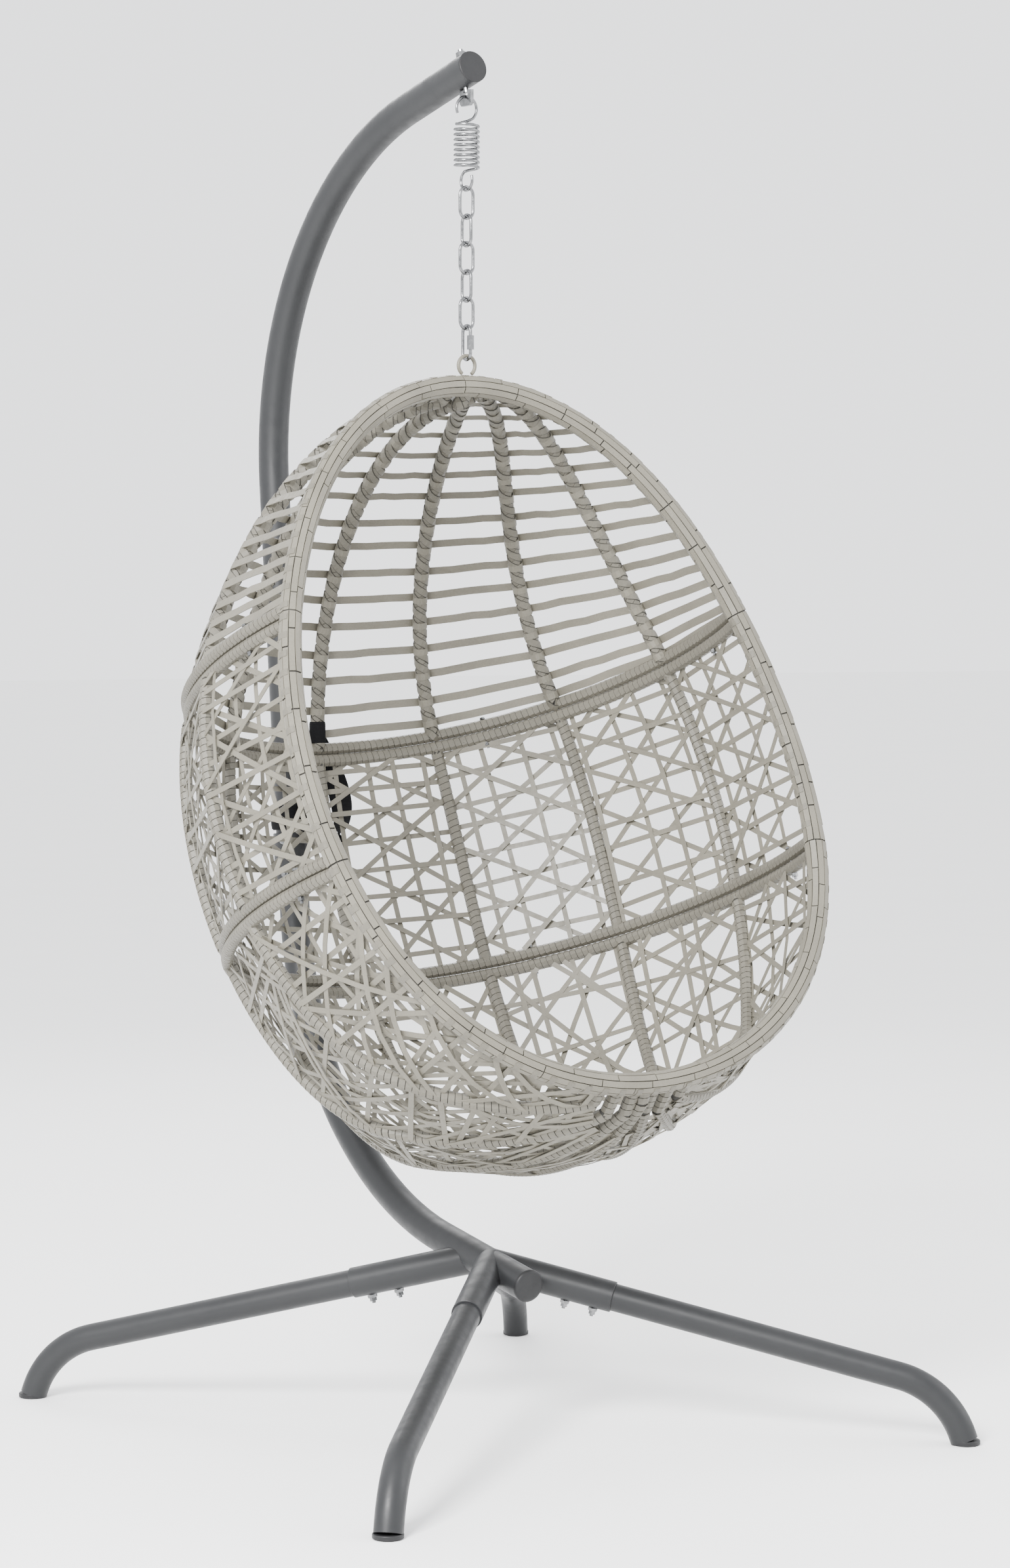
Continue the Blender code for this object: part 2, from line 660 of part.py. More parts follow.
def rim_line(start, end, count, sign):
    """Rim points with a close pair at the start, so that the end face is square to the rim."""
    angles = spread(start, end, count)
    angles.insert(1, start + math.copysign(0.4, end - start))
    return [rim_point(theta, sign) for theta in angles]


def rim_arch(start, end, count):
    """Rim points from the left seam across the middle plane to the right seam."""
    return rim_line(start, end, count, -1)[:-1] + rim_line(start, end, count, 1)[::-1]


def rim_side(start, end, count, sign):
    middle = (start + end) / 2
    return rim_line(start, middle, count, sign)[:-1] + rim_line(end, middle, count, sign)[::-1]


def hoop_line(theta, offset, count=17):
    axis = seam_axis(theta)
    limit = SIDE_ANGLE - 3.2
    return [egg_point(theta, alpha) + axis * offset for alpha in spread(-limit, limit, count)]


def rib_line(index, start, end, count):
    return [egg_point(theta, rib_alpha(index, theta)) for theta in spread(start, end, count)]


def rib_end_on_hoop(index, theta, offset):
    return egg_point(theta, rib_alpha(index, theta)) + seam_axis(theta) * offset


def bolt_holes(seam_name, theta):
    axis = seam_axis(theta)
    reach = HOOP_OFFSET + HOOP_RADIUS + 0.01
    return [turned(egg_point(theta, alpha), axis, [(-reach, 0.0029), (reach, 0.0029)], 6, RIGHT)
            for alpha in SEAM_BOLT_PLACES[seam_name]]


def build_frames(basket, wicker):
    """Each section's hoops and ribs are one welded frame."""
    ribs = range(-3, 4)
    upper, lower = HOOP_OFFSET, -HOOP_OFFSET

    def hoop(theta, offset):
        return rod(hoop_line(theta, offset), HOOP_RADIUS, FRAME_SIDES, UP)

    top = make_object("top_frame", *hoop(UPPER_SEAM, upper), wicker, basket)
    members = []
    for index in ribs:
        line = rib_line(index, TOP_RIB_STARTS[abs(index)], UPPER_SEAM - RIB_TURN_IN, TOP_RIB_POINTS)
        line.append(rib_end_on_hoop(index, UPPER_SEAM, upper))
        members.append(rod(line, RIB_RADIUS, FRAME_SIDES, RIGHT))
    join(top, members)
    cut(top, bolt_holes("upper", UPPER_SEAM))

    middle = make_object("middle_frame", *hoop(UPPER_SEAM, lower), wicker, basket)
    members = []
    for index in ribs:
        line = [rib_end_on_hoop(index, UPPER_SEAM, lower)]
        line += rib_line(index, UPPER_SEAM + 3.5, LOWER_SEAM - 3.5, 4)
        line.append(rib_end_on_hoop(index, LOWER_SEAM, upper))
        members.append(rod(line, RIB_RADIUS, FRAME_SIDES, RIGHT))
    members.append(hoop(LOWER_SEAM, upper))
    join(middle, members)
    cut(middle, bolt_holes("upper", UPPER_SEAM) + bolt_holes("lower", LOWER_SEAM))

    bottom = make_object("bottom_frame", *hoop(LOWER_SEAM, lower), wicker, basket)
    members = []
    for index in ribs:
        line = [rib_end_on_hoop(index, LOWER_SEAM, lower)]
        line += rib_line(index, LOWER_SEAM + 3.5, BOTTOM_RIB_ENDS[abs(index)], 8)
        members.append(rod(line, RIB_RADIUS, FRAME_SIDES, RIGHT))
    join(bottom, members)
    cut(bottom, bolt_holes("lower", LOWER_SEAM))


def weave_shell(start, end, rows, columns, thickness):
    """A thin wall just outside the ribs, stopping short of the rim all round."""
    clear = 0.020
    outer, inner = [], []
    for theta in spread(start, end, rows):
        rim, back = rim_point(theta), profile_point(theta)
        size = min(rim.x, (back - Vector((0, rim.y, rim.z))).length)
        limit = SIDE_ANGLE - math.degrees(clear / size)
        for grid, offset in ((inner, WEAVE_INNER), (outer, WEAVE_INNER + thickness)):
            grid.append([egg_point(theta, alpha) + egg_normal(theta, alpha) * offset
                         for alpha in spread(-limit, limit, columns)])
    verts = [v for row in outer for v in row] + [v for row in inner for v in row]
    start_inner = rows * columns
    faces = []
    for row in range(rows - 1):
        for column in range(columns - 1):
            a = row * columns + column
            b, c, d = a + 1, a + columns + 1, a + columns
            left = column < columns // 2
            for face in ((a, b, c), (a, c, d)) if left else ((a, b, d), (b, c, d)):
                faces.append(face)
                faces.append(tuple(i + start_inner for i in reversed(face)))
    edge = [c for c in range(columns)]
    edge += [r * columns + columns - 1 for r in range(1, rows)]
    edge += [(rows - 1) * columns + c for c in range(columns - 2, -1, -1)]
    edge += [r * columns for r in range(rows - 2, 0, -1)]
    for a, b in zip(edge, edge[1:] + edge[:1]):
        faces.append((a, a + start_inner, b + start_inner, b))
    return verts, faces


def seam_bolt(theta, alpha):
    """A bolt through both hoops of a seam, its head above and its nut below."""
    top = HOOP_OFFSET + HOOP_RADIUS + GAP
    profile = [(-top - 0.009, 0.0024), (-top - 0.005, 0.0024), (-top - 0.005, 0.0048), (-top, 0.0048),
               (-top, 0.0024), (top, 0.0024), (top, 0.0048), (top + 0.003, 0.0040)]
    return turned(egg_point(theta, alpha), seam_axis(theta), profile, 6, RIGHT)


def build_basket(ring_hang_z, wicker, zinc, black):
    basket = make_pivot("basket_pivot", (0, 0, ring_hang_z))
    broad, deep = RIM_SECTION
    side = (profile_point(UPPER_SEAM) - rim_point(UPPER_SEAM)).normalized()

    def rim_rod(line):
        return rod(line, broad, 8, side, deep)

    make_object("top_rim", *rim_rod(rim_arch(UPPER_SEAM - SEAM_TRIM, 0, 11)), wicker, basket)
    for name, sign in (("left", -1), ("right", 1)):
        line = rim_side(UPPER_SEAM + SEAM_TRIM, LOWER_SEAM - SEAM_TRIM, 4, sign)
        make_object(f"middle_rim_{name}", *rim_rod(line), wicker, basket)
    make_object("bottom_rim", *rim_rod(rim_arch(LOWER_SEAM + SEAM_TRIM, 180, 11)), wicker, basket)
    build_frames(basket, wicker)

    for name, start, end, rows in (("top", 10.0, UPPER_SEAM - 0.4, 9),
                                   ("middle", UPPER_SEAM + 0.4, LOWER_SEAM - 0.4, 6),
                                   ("bottom", LOWER_SEAM + 0.4, 172.0, 10)):
        shell = weave_shell(start, end, rows, 23, WEAVE_THICKNESS[name])
        make_object(f"weave_{name}", *shell, wicker, basket)
    for seam_name, theta in (("upper", UPPER_SEAM), ("lower", LOWER_SEAM)):
        for index, alpha in enumerate(SEAM_BOLT_PLACES[seam_name]):
            make_object(f"seam_bolt_{seam_name}_{index + 1}", *seam_bolt(theta, alpha), zinc, basket)

    ring_z = ring_hang_z + QUICK_LINK_WIRE + CONTACT_GAP + RING_WIRE - RING_RADIUS
    line = [hook_point(math.radians(a), ring_z, RING_RADIUS) for a in spread(-55, 235, 15)]
    make_object("hanging_ring", *rod(line, RING_WIRE, 8, BACK), wicker, basket)
    build_strap(basket, black)


def build_strap(basket, black):
    """A webbing stay: a loop round the back rib and a slack run down to the post's loop."""
    high, low = rib_line(0, TOP_RIB_STARTS[0], UPPER_SEAM - RIB_TURN_IN, TOP_RIB_POINTS)[-2:]
    centre = low.lerp(high, RIB_LOOP_SHARE)
    way = (high - low).normalized()
    half, inner, outer = RIB_LOOP
    make_object("strap_rib_loop", *collar(centre, way, -half, half, inner, outer, 8, RIGHT), black, basket)

    knots = [Vector(knot) for knot in STRAP_KNOTS]
    widths = [Vector(width) for width in STRAP_HALF_WIDTHS]
    rings = []
    steps = 4
    spans = len(knots) - 1
    for index in range(steps * spans + 1):
        first = min(index // steps, spans - 1)
        t = index / steps - first
        point = catmull(knots, first, t)
        half = widths[first].lerp(widths[first + 1], t)
        ahead = catmull(knots, first, min(t + 0.02, 1))
        way = (ahead - catmull(knots, first, max(t - 0.02, 0))).normalized()
        half = half - way * half.dot(way)
        thick = way.cross(half).normalized() * STRAP_THICKNESS / 2
        rings.append([point - half - thick, point + half - thick,
                      point + half + thick, point - half + thick])
    make_object("stay_strap", *loft(rings), black, basket)


def catmull(knots, first, t):
    """A smooth curve through knots, between knot first and the next."""
    p1, p2 = knots[first], knots[first + 1]
    p0 = knots[first - 1] if first > 0 else p1 * 2 - p2
    p3 = knots[first + 2] if first + 2 < len(knots) else p2 * 2 - p1
    return 0.5 * (2 * p1 + (p2 - p0) * t + (2 * p0 - 5 * p1 + 4 * p2 - p3) * t * t
                  + (3 * p1 - p0 - 3 * p2 + p3) * t ** 3)


def main():
    clear_objects()
    steel = make_material("powder_coated_steel", (0.060, 0.062, 0.066), 0.45, 0.35)
    black = make_material("black_webbing_and_plastic", (0.016, 0.016, 0.017), 0.75, 0.0)
    zinc = make_material("bright_zinc", (0.68, 0.69, 0.70), 0.25, 1.0)
    wicker = make_material("grey_wicker", (0.53, 0.52, 0.47), 0.60, 0.0)

    stand = make_pivot("stand", (0, 0, 0))
    top_tube = build_post(stand, steel, black, zinc)
    build_eye(stand, top_tube, zinc)
    for side_name, sign in (("left", -1), ("right", 1)):
        rear = (REAR_FOOT[0] * sign, REAR_FOOT[1])
        front = (FRONT_FOOT[0] * sign, FRONT_FOOT[1])
        build_leg(stand, f"rear_{side_name}", rear, REAR_CROSSING_Y, steel, black, zinc)
        build_leg(stand, f"front_{side_name}", front, FRONT_CROSSING_Y, steel, black, zinc)
    ring_hang_z = build_suspension(zinc)
    build_basket(ring_hang_z, wicker, zinc, black)


main()
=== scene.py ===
import math
import random
import bpy
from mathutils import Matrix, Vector


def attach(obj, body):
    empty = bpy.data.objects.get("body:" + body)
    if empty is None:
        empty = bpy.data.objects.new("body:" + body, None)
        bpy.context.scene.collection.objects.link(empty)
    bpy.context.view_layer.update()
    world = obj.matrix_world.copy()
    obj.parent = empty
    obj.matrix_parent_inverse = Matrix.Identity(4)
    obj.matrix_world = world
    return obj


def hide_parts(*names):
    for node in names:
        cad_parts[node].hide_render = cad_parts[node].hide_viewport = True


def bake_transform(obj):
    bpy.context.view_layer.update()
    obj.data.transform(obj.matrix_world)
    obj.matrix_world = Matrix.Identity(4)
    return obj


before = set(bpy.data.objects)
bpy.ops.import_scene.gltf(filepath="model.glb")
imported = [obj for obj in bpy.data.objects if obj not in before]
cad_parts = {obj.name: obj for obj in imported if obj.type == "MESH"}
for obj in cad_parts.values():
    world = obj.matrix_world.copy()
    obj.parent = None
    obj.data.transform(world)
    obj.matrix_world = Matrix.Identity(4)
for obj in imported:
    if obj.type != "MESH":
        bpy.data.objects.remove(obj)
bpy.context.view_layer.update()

up, right, back = Vector((0, 0, 1)), Vector((1, 0, 0)), Vector((0, 1, 0))


# shader maths: a socket that takes Python operators
class Wire:
    def __init__(self, tree, socket):
        self.tree, self.socket = tree, socket

    def math(self, operation, other):
        node = self.tree.nodes.new("ShaderNodeMath")
        node.operation = operation
        for place, value in zip(node.inputs, (self, other)):
            if isinstance(value, Wire):
                self.tree.links.new(value.socket, place)
            else:
                place.default_value = value
        return Wire(self.tree, node.outputs[0])

    def __mul__(self, other):
        return self.math("MULTIPLY", other)


class Finish:
    # one material with a Principled shader and short ways to add nodes
    def __init__(self, name, **constants):
        self.material = bpy.data.materials.new(name)
        self.material.use_nodes = True
        self.tree = self.material.node_tree
        self.shader = self.tree.nodes["Principled BSDF"]
        for key, value in constants.items():
            self.shader.inputs[key.replace("_", " ")].default_value = value

    def node(self, kind, settings=None, values=None, out=0):
        node = self.tree.nodes.new(kind)
        for key, value in (settings or {}).items():
            setattr(node, key, value)
        for key, value in (values or {}).items():
            if isinstance(value, Wire):
                self.tree.links.new(value.socket, node.inputs[key])
            else:
                node.inputs[key].default_value = value
        return Wire(self.tree, node.outputs[out])

    def place(self, stretch=(1, 1, 1)):
        coords = self.node("ShaderNodeTexCoord", out="Object")
        return self.node("ShaderNodeMapping", values={"Vector": coords, "Scale": stretch})

    def noise(self, scale, detail=3.0, stretch=(1, 1, 1)):
        return self.node("ShaderNodeTexNoise", values={"Vector": self.place(stretch), "Scale": scale,
                                                       "Detail": detail, "Roughness": 0.55})

    def remap(self, wire, low, high, first, last):
        return self.node("ShaderNodeMapRange", values={"Value": wire, "From Min": low, "From Max": high,
                                                       "To Min": first, "To Max": last})

    def mix(self, share, first, second):
        node = self.tree.nodes.new("ShaderNodeMix")
        node.data_type = "RGBA"
        for place, value in ((0, share), (6, first), (7, second)):
            if isinstance(value, Wire):
                self.tree.links.new(value.socket, node.inputs[place])
            else:
                node.inputs[place].default_value = (*value, 1) if isinstance(value, tuple) else value
        return Wire(self.tree, node.outputs[2])

    def feed(self, **wires):
        for key, wire in wires.items():
            self.tree.links.new(wire.socket, self.shader.inputs[key.replace("_", " ")])

    def bump(self, height, strength, distance):
        self.feed(Normal=self.node("ShaderNodeBump", values={"Strength": strength, "Distance": distance,
                                                             "Height": height}))


# each cane: light tone, dark tone, roughness
wicker = {"specular": 0.35, "patchScale": 14.0, "patchShade": 0.86, "fleckScale": 420.0, "fleckShare": 0.22,
          "shineScale": 90.0, "shineRange": (-0.08, 0.1), "grainScale": 700.0, "grainStrength": 0.35,
          "grainDepth": 0.0004,
          "caneStrip": ((0.152, 0.141, 0.111), (0.055, 0.050, 0.038), 0.46),
          "caneWrap": ((0.126, 0.117, 0.093), (0.042, 0.038, 0.03), 0.48),
          # the darkest cane is painted shade: near-black, for the rods and strips laid under the wraps and
          # bricks, so that the gaps between them read as shadow
          "paintedShadeCane": ((0.035, 0.033, 0.029), (0.015, 0.014, 0.012), 0.8)}


def makeWicker(name):
    # resin cane: soft patches of tone, and fine dark flecks
    light, dark, roughness = wicker[name]
    less, more = wicker["shineRange"]
    look = Finish(name, Roughness=roughness, Specular_IOR_Level=wicker["specular"])
    patches = look.remap(look.noise(wicker["patchScale"], 2.0), 0.35, 0.65, 0.0, 1.0)
    flecks = look.remap(look.noise(wicker["fleckScale"], 4.0), 0.3, 0.7, 0.0, 1.0)
    tone = look.mix(patches, light, tuple(c * wicker["patchShade"] for c in light))
    tone = look.mix(flecks * wicker["fleckShare"], tone, dark)
    shine = look.remap(look.noise(wicker["shineScale"]), 0.3, 0.7, roughness + less, roughness + more)
    look.feed(Base_Color=tone, Roughness=shine)
    look.bump(look.noise(wicker["grainScale"]), wicker["grainStrength"], wicker["grainDepth"])
    return look.material


# patches: scale, low, high; shine: scale, least and most roughness; grain: scale, stretch, strength, depth
mottled = {
    "satinPowderCoat": {"shader": {"Roughness": 0.42, "Specular_IOR_Level": 0.28},
                        "tones": ((0.019, 0.0195, 0.0205), (0.015, 0.0155, 0.0165)),
                        "patches": (5.0, 0.35, 0.7), "shine": (60.0, 0.36, 0.5),
                        "grain": (1500.0, (1, 1, 1), 0.12, 0.0002)},
    "brightZinc": {"shader": {"Metallic": 1.0, "Roughness": 0.22},
                   "tones": ((0.24, 0.243, 0.247), (0.13, 0.132, 0.135)),
                   "patches": (120.0, 0.3, 0.7), "shine": (300.0, 0.16, 0.32),
                   "grain": (900.0, (1, 1, 0.3), 0.08, 0.0002)},
    "blackPlastic": {"shader": {"Roughness": 0.5, "Specular_IOR_Level": 0.3},
                     "tones": ((0.008, 0.008, 0.0085), (0.014, 0.014, 0.015)),
                     "patches": (30.0, 0.0, 1.0), "shine": (80.0, 0.42, 0.6)}}


def makeMottled(name):
    # two close tones in soft patches, with the roughness varied a little
    care = mottled[name]
    look = Finish(name, **care["shader"])
    scale, low, high = care["patches"]
    share = look.remap(look.noise(scale), low, high, 0.0, 1.0)
    scale, low, high = care["shine"]
    look.feed(Base_Color=look.mix(share, *care["tones"]),
              Roughness=look.remap(look.noise(scale), 0.3, 0.7, low, high))
    if "grain" in care:
        scale, stretch, strength, depth = care["grain"]
        look.bump(look.noise(scale, 2.0, stretch), strength, depth)
    return look.material


ribbed = {"scale": 160.0, "distortion": 0.3, "share": 0.6, "strength": 0.5, "depth": 0.0005,
          "tones": ((0.004, 0.004, 0.0045), (0.011, 0.011, 0.012))}


def makeWebbing():
    look = Finish("blackWebbing", Roughness=0.85, Specular_IOR_Level=0.08)
    rib = look.node("ShaderNodeTexWave", {"wave_type": "BANDS", "bands_direction": "Z"},
                    {"Vector": look.place(), "Scale": ribbed["scale"], "Distortion": ribbed["distortion"]})
    look.feed(Base_Color=look.mix(rib * ribbed["share"], *ribbed["tones"]))
    look.bump(rib, ribbed["strength"], ribbed["depth"])
    return look.material


caneLight, caneWrap, paintedShadeCane = (makeWicker(name) for name in ("caneStrip", "caneWrap", "paintedShadeCane"))
coat, zinc = makeMottled("satinPowderCoat"), makeMottled("brightZinc")
webbing, blackPlastic = makeWebbing(), makeMottled("blackPlastic")
print("finishes made")


# Geometry Nodes: a strip or a rod swept along every polyline of a mesh
def makeSweep(name, flat):
    tree = bpy.data.node_groups.new(name, "GeometryNodeTree")
    face = tree.interface
    face.new_socket("Geometry", in_out="INPUT", socket_type="NodeSocketGeometry")
    for label in ("Width", "Thickness"):
        face.new_socket(label, in_out="INPUT", socket_type="NodeSocketFloat")
    face.new_socket("Sides", in_out="INPUT", socket_type="NodeSocketInt")
    face.new_socket("Finish", in_out="INPUT", socket_type="NodeSocketMaterial")
    face.new_socket("Geometry", in_out="OUTPUT", socket_type="NodeSocketGeometry")

    def add(kind, values=None, **settings):
        node = tree.nodes.new(kind)
        for key, value in settings.items():
            setattr(node, key, value)
        for key, value in (values or {}).items():
            if isinstance(value, bpy.types.NodeSocket):
                tree.links.new(value, node.inputs[key])
            else:
                node.inputs[key].default_value = value
        return node

    given = add("NodeGroupInput").outputs
    curve = add("GeometryNodeMeshToCurve", {"Mesh": given["Geometry"]}).outputs["Curve"]
    if flat:
        outward = add("GeometryNodeInputNamedAttribute", {"Name": "outward"}, data_type="FLOAT_VECTOR")
        facing = add("GeometryNodeSetCurveNormal", {"Curve": curve}, mode="FREE")
        tree.links.new(outward.outputs["Attribute"], facing.inputs["Normal"])
        curve = facing.outputs["Curve"]
        section = add("GeometryNodeCurvePrimitiveQuadrilateral",
                      {"Width": given["Thickness"], "Height": given["Width"]}).outputs["Curve"]
    else:
        section = add("GeometryNodeCurvePrimitiveCircle",
                      {"Resolution": given["Sides"], "Radius": given["Width"]}).outputs["Curve"]
    swept = add("GeometryNodeCurveToMesh", {"Curve": curve, "Profile Curve": section, "Fill Caps": True})
    smooth = add("GeometryNodeSetShadeSmooth", {"Geometry": swept.outputs["Mesh"], "Shade Smooth": not flat})
    real = add("GeometryNodeRealizeInstances", {"Geometry": smooth.outputs["Geometry"]})
    coloured = add("GeometryNodeSetMaterial",
                   {"Geometry": real.outputs["Geometry"], "Material": given["Finish"]})
    out = add("NodeGroupOutput")
    tree.links.new(coloured.outputs["Geometry"], out.inputs["Geometry"])
    return tree


stripSweep, rodSweep = makeSweep("stripSweep", True), makeSweep("rodSweep", False)


def sweep(name, lines, tree, given):
    # lines: (points, outward directions or None, closed)
    verts, edges, facing = [], [], []
    for points, outward, closed in lines:
        start = len(verts)
        verts += points
        facing += outward or [up] * len(points)
        edges += [(start + i, start + i + 1) for i in range(len(points) - 1)]
        if closed:
            edges.append((len(verts) - 1, start))
    mesh = bpy.data.meshes.new(name)
    mesh.from_pydata(verts, edges, [])
    values = mesh.attributes.new("outward", "FLOAT_VECTOR", "POINT")
    values.data.foreach_set("vector", [c for v in facing for c in v])
    obj = bpy.data.objects.new(name, mesh)
    bpy.context.scene.collection.objects.link(obj)
    change = obj.modifiers.new("sweep", "NODES")
    change.node_group = tree
    for item in tree.interface.items_tree:
        if item.item_type == "SOCKET" and item.in_out == "INPUT" and item.name in given:
            change[item.identifier] = given[item.name]
    grown = bpy.data.meshes.new_from_object(obj.evaluated_get(bpy.context.evaluated_depsgraph_get()))
    obj.modifiers.remove(change)
    obj.data = grown
    bpy.data.meshes.remove(mesh)
    return obj


def sweepStrips(name, lines, width, thickness, finish):
    return sweep(name, lines, stripSweep, {"Width": width, "Thickness": thickness, "Finish": finish})


def sweepRods(name, lines, radius, finish, sides=12, closed=False):
    return sweep(name, [(line, None, closed) for line in lines], rodSweep,
                 {"Width": radius, "Sides": sides, "Finish": finish})


def joined(name, parts):
    # one mesh from several finished ones
    bpy.ops.object.select_all(action="DESELECT")
    for part in parts:
        part.select_set(True)
    bpy.context.view_layer.objects.active = parts[0]
    bpy.ops.object.join()
    parts[0].name = name
    return parts[0]


# paths
def spread(start, end, count):
    return [start + (end - start) * i / (count - 1) for i in range(count)]


def resampled(points, step):
    lengths = [0.0]
    for a, b in zip(points, points[1:]):
        lengths.append(lengths[-1] + (b - a).length)
    count = max(2, round(lengths[-1] / step))
    result, index = [], 0
    for number in range(count + 1):
        goal = lengths[-1] * number / count
        while index < len(lengths) - 2 and lengths[index + 1] < goal:
            index += 1
        span = max(lengths[index + 1] - lengths[index], 1e-9)
        share = min(1, max(0, (goal - lengths[index]) / span))
        result.append(points[index].lerp(points[index + 1], share))
    return result


def framed(points, side):
    # a frame carried along the path: tangent, side and third
    result, last = [], len(points) - 1
    for i in range(last + 1):
        way = (points[min(i + 1, last)] - points[max(i - 1, 0)]).normalized()
        side = (side - way * side.dot(way)).normalized()
        result.append((way, side, way.cross(side)))
    return result


def around(first, third, angles):
    return [first * math.cos(a) + third * math.sin(a) for a in angles]


def wound(points, radius, pitch, sign=1, perTurn=9, phase=0.0):
    # a strip wound round a path
    line, facing = resampled(points, pitch / perTurn), []
    for i, (_, first, third) in enumerate(framed(line, right)):
        facing += around(first, third, [phase + sign * math.tau * i / perTurn])
    return [point + out * radius for point, out in zip(line, facing)], facing, False


def hoopRound(point, way, radius, phase, count=12):
    # one turn of strip round a rod
    first = way.normalized().orthogonal().normalized()
    third = way.normalized().cross(first)
    facing = around(first, third, [math.tau * i / count + phase for i in range(count)])
    return [point + out * radius for out in facing], facing, True


def filleted(corners, radius, step):
    points = [corners[0]]
    for before, corner, after in zip(corners, corners[1:], corners[2:]):
        inward, outward = (corner - before).normalized(), (after - corner).normalized()
        turn = inward.angle(outward)
        side = (outward - inward * outward.dot(inward)).normalized()
        centre = corner - inward * radius * math.tan(turn / 2) + side * radius
        count = max(2, math.ceil(turn / step))
        points += [centre + (inward * math.sin(a) - side * math.cos(a)) * radius
                   for a in spread(0, turn, count + 1)]
    return points + [corners[-1]]


def arc(side, centreZ, radius, start, end, count):
    # part of a circle in an upright plane, in degrees from the side direction
    return [side * radius * math.cos(math.radians(a)) + up * (centreZ + radius * math.sin(math.radians(a)))
            for a in spread(start, end, count)]


def turned(name, origin, axis, profile, finish, sides=32):
    # a solid of revolution from (height, radius) pairs
    axis = Vector(axis).normalized()
    first = right if abs(axis.x) < 0.9 else up
    first = (first - axis * first.dot(axis)).normalized()
    ways = around(first, axis.cross(first), [math.tau * i / sides for i in range(sides)])
    verts, faces = [], []
    for height, radius in profile:
        verts += [Vector(origin) + axis * height + way * radius for way in ways]
    for row in range(len(profile) - 1):
        for i in range(sides):
            a, b = row * sides + i, row * sides + (i + 1) % sides
            faces.append((a, b, b + sides, a + sides))
    faces.append(tuple(range(sides - 1, -1, -1)))
    faces.append(tuple(range(len(verts) - sides, len(verts))))
    mesh = bpy.data.meshes.new(name)
    mesh.from_pydata(verts, [], faces)
    mesh.materials.append(finish)
    mesh.shade_smooth()
    mesh.set_sharp_from_angle(angle=math.radians(35))
    obj = bpy.data.objects.new(name, mesh)
    bpy.context.scene.collection.objects.link(obj)
    return obj


def done(obj, body, slotName, *nodes):
    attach(obj, body)
    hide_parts(*nodes)


# the stand; collar edges and cap profiles are (along the axis, inset or radius) pairs
post = {"radius": 0.023, "bend": 0.5, "bendStep": 2, "sides": 40, "joint": 0.79, "collarInner": 0.0231,
        "corners": ((-0.0145, 1.930), (0.5637, 1.785), (0.4355, 0.325), (-0.1505, 0.2165)),
        "sleeve": {"ends": (0.748, 0.824), "radius": 0.0275, "edge": ((0.0, 0.001), (0.001, 0.0))},
        "loop": {"ends": (0.829, 0.865), "radius": 0.030,
                 "edge": ((0.0, 0.003), (0.002, 0.001), (0.010, 0.0))},
        "topCap": ((-0.004, 0.020), (0.0, 0.0215), (0.0, 0.0229), (0.0016, 0.0229), (0.0024, 0.0218),
                   (0.0024, 0.002)),
        "frontCap": ((-0.004, 0.020), (0.0004, 0.0210), (0.0004, 0.0236), (0.0035, 0.0236), (0.0050, 0.0228),
                     (0.0062, 0.0205), (0.0068, 0.0175), (0.0069, 0.004))}
postLine = filleted([Vector((0, y, z)) for y, z in post["corners"]], post["bend"],
                    math.radians(post["bendStep"]))
jointAt = next(i for i, point in enumerate(postLine) if point.z < post["joint"] and point.y > 0)
above, below = postLine[jointAt - 1], postLine[jointAt]
jointPoint = above.lerp(below, (above.z - post["joint"]) / (above.z - below.z))
upright = (above - below).normalized()


def collar(name, care, finish):
    # a band round the upright, with the same easing at both edges
    low, high = ((z - jointPoint.z) / upright.z for z in care["ends"])
    foot = [(low + step, care["radius"] - inset) for step, inset in care["edge"]]
    head = [(high - step, care["radius"] - inset) for step, inset in reversed(care["edge"])]
    profile = [(low, post["collarInner"])] + foot + head + [(high, post["collarInner"])]
    return turned(name, jointPoint, upright, profile, finish, 48)


for name, node, line in (("upperPost", "post_upper", postLine[:jointAt] + [jointPoint]),
                         ("lowerPost", "post_lower", [jointPoint] + postLine[jointAt:])):
    tube = sweepRods(name, [line], post["radius"], coat, post["sides"])
    done(tube, "stand", "powder_coated_steel", node)
done(collar("postSleeve", post["sleeve"], coat), "stand", "powder_coated_steel", "post_sleeve")
done(collar("strapLoopOnPost", post["loop"], webbing), "stand",
     "black_webbing_and_plastic", "strap_post_loop")
for name, node, profile, end, inner in (
        ("postTopCap", "post_top_cap", post["topCap"], postLine[0], postLine[1]),
        ("postFrontCap", "post_front_cap", post["frontCap"], postLine[-1], postLine[-2])):
    cap = turned(name, end, end - inner, profile, blackPlastic, 48)
    done(cap, "stand", "black_webbing_and_plastic", node)

# each foot: where it stands, and where its leg crosses the middle plane
legs = {"radius": 0.0195, "bend": 0.125, "footAngle": math.radians(71.0), "rise": 0.2442, "baseZ": 0.071,
        "inner": 0.600, "footCut": 0.0055, "sides": 40,
        "socketRadius": 0.022, "socketStart": 0.4962, "socketEdge": 0.0006,
        "cap": ((0.0, 0.0175), (0.0015, 0.0204), (0.006, 0.0204), (0.007, 0.0196), (0.007, 0.01)),
        "feet": {"rear": ((0.436, 0.503), -0.009), "front": ((0.480, -0.531), -0.061)}}


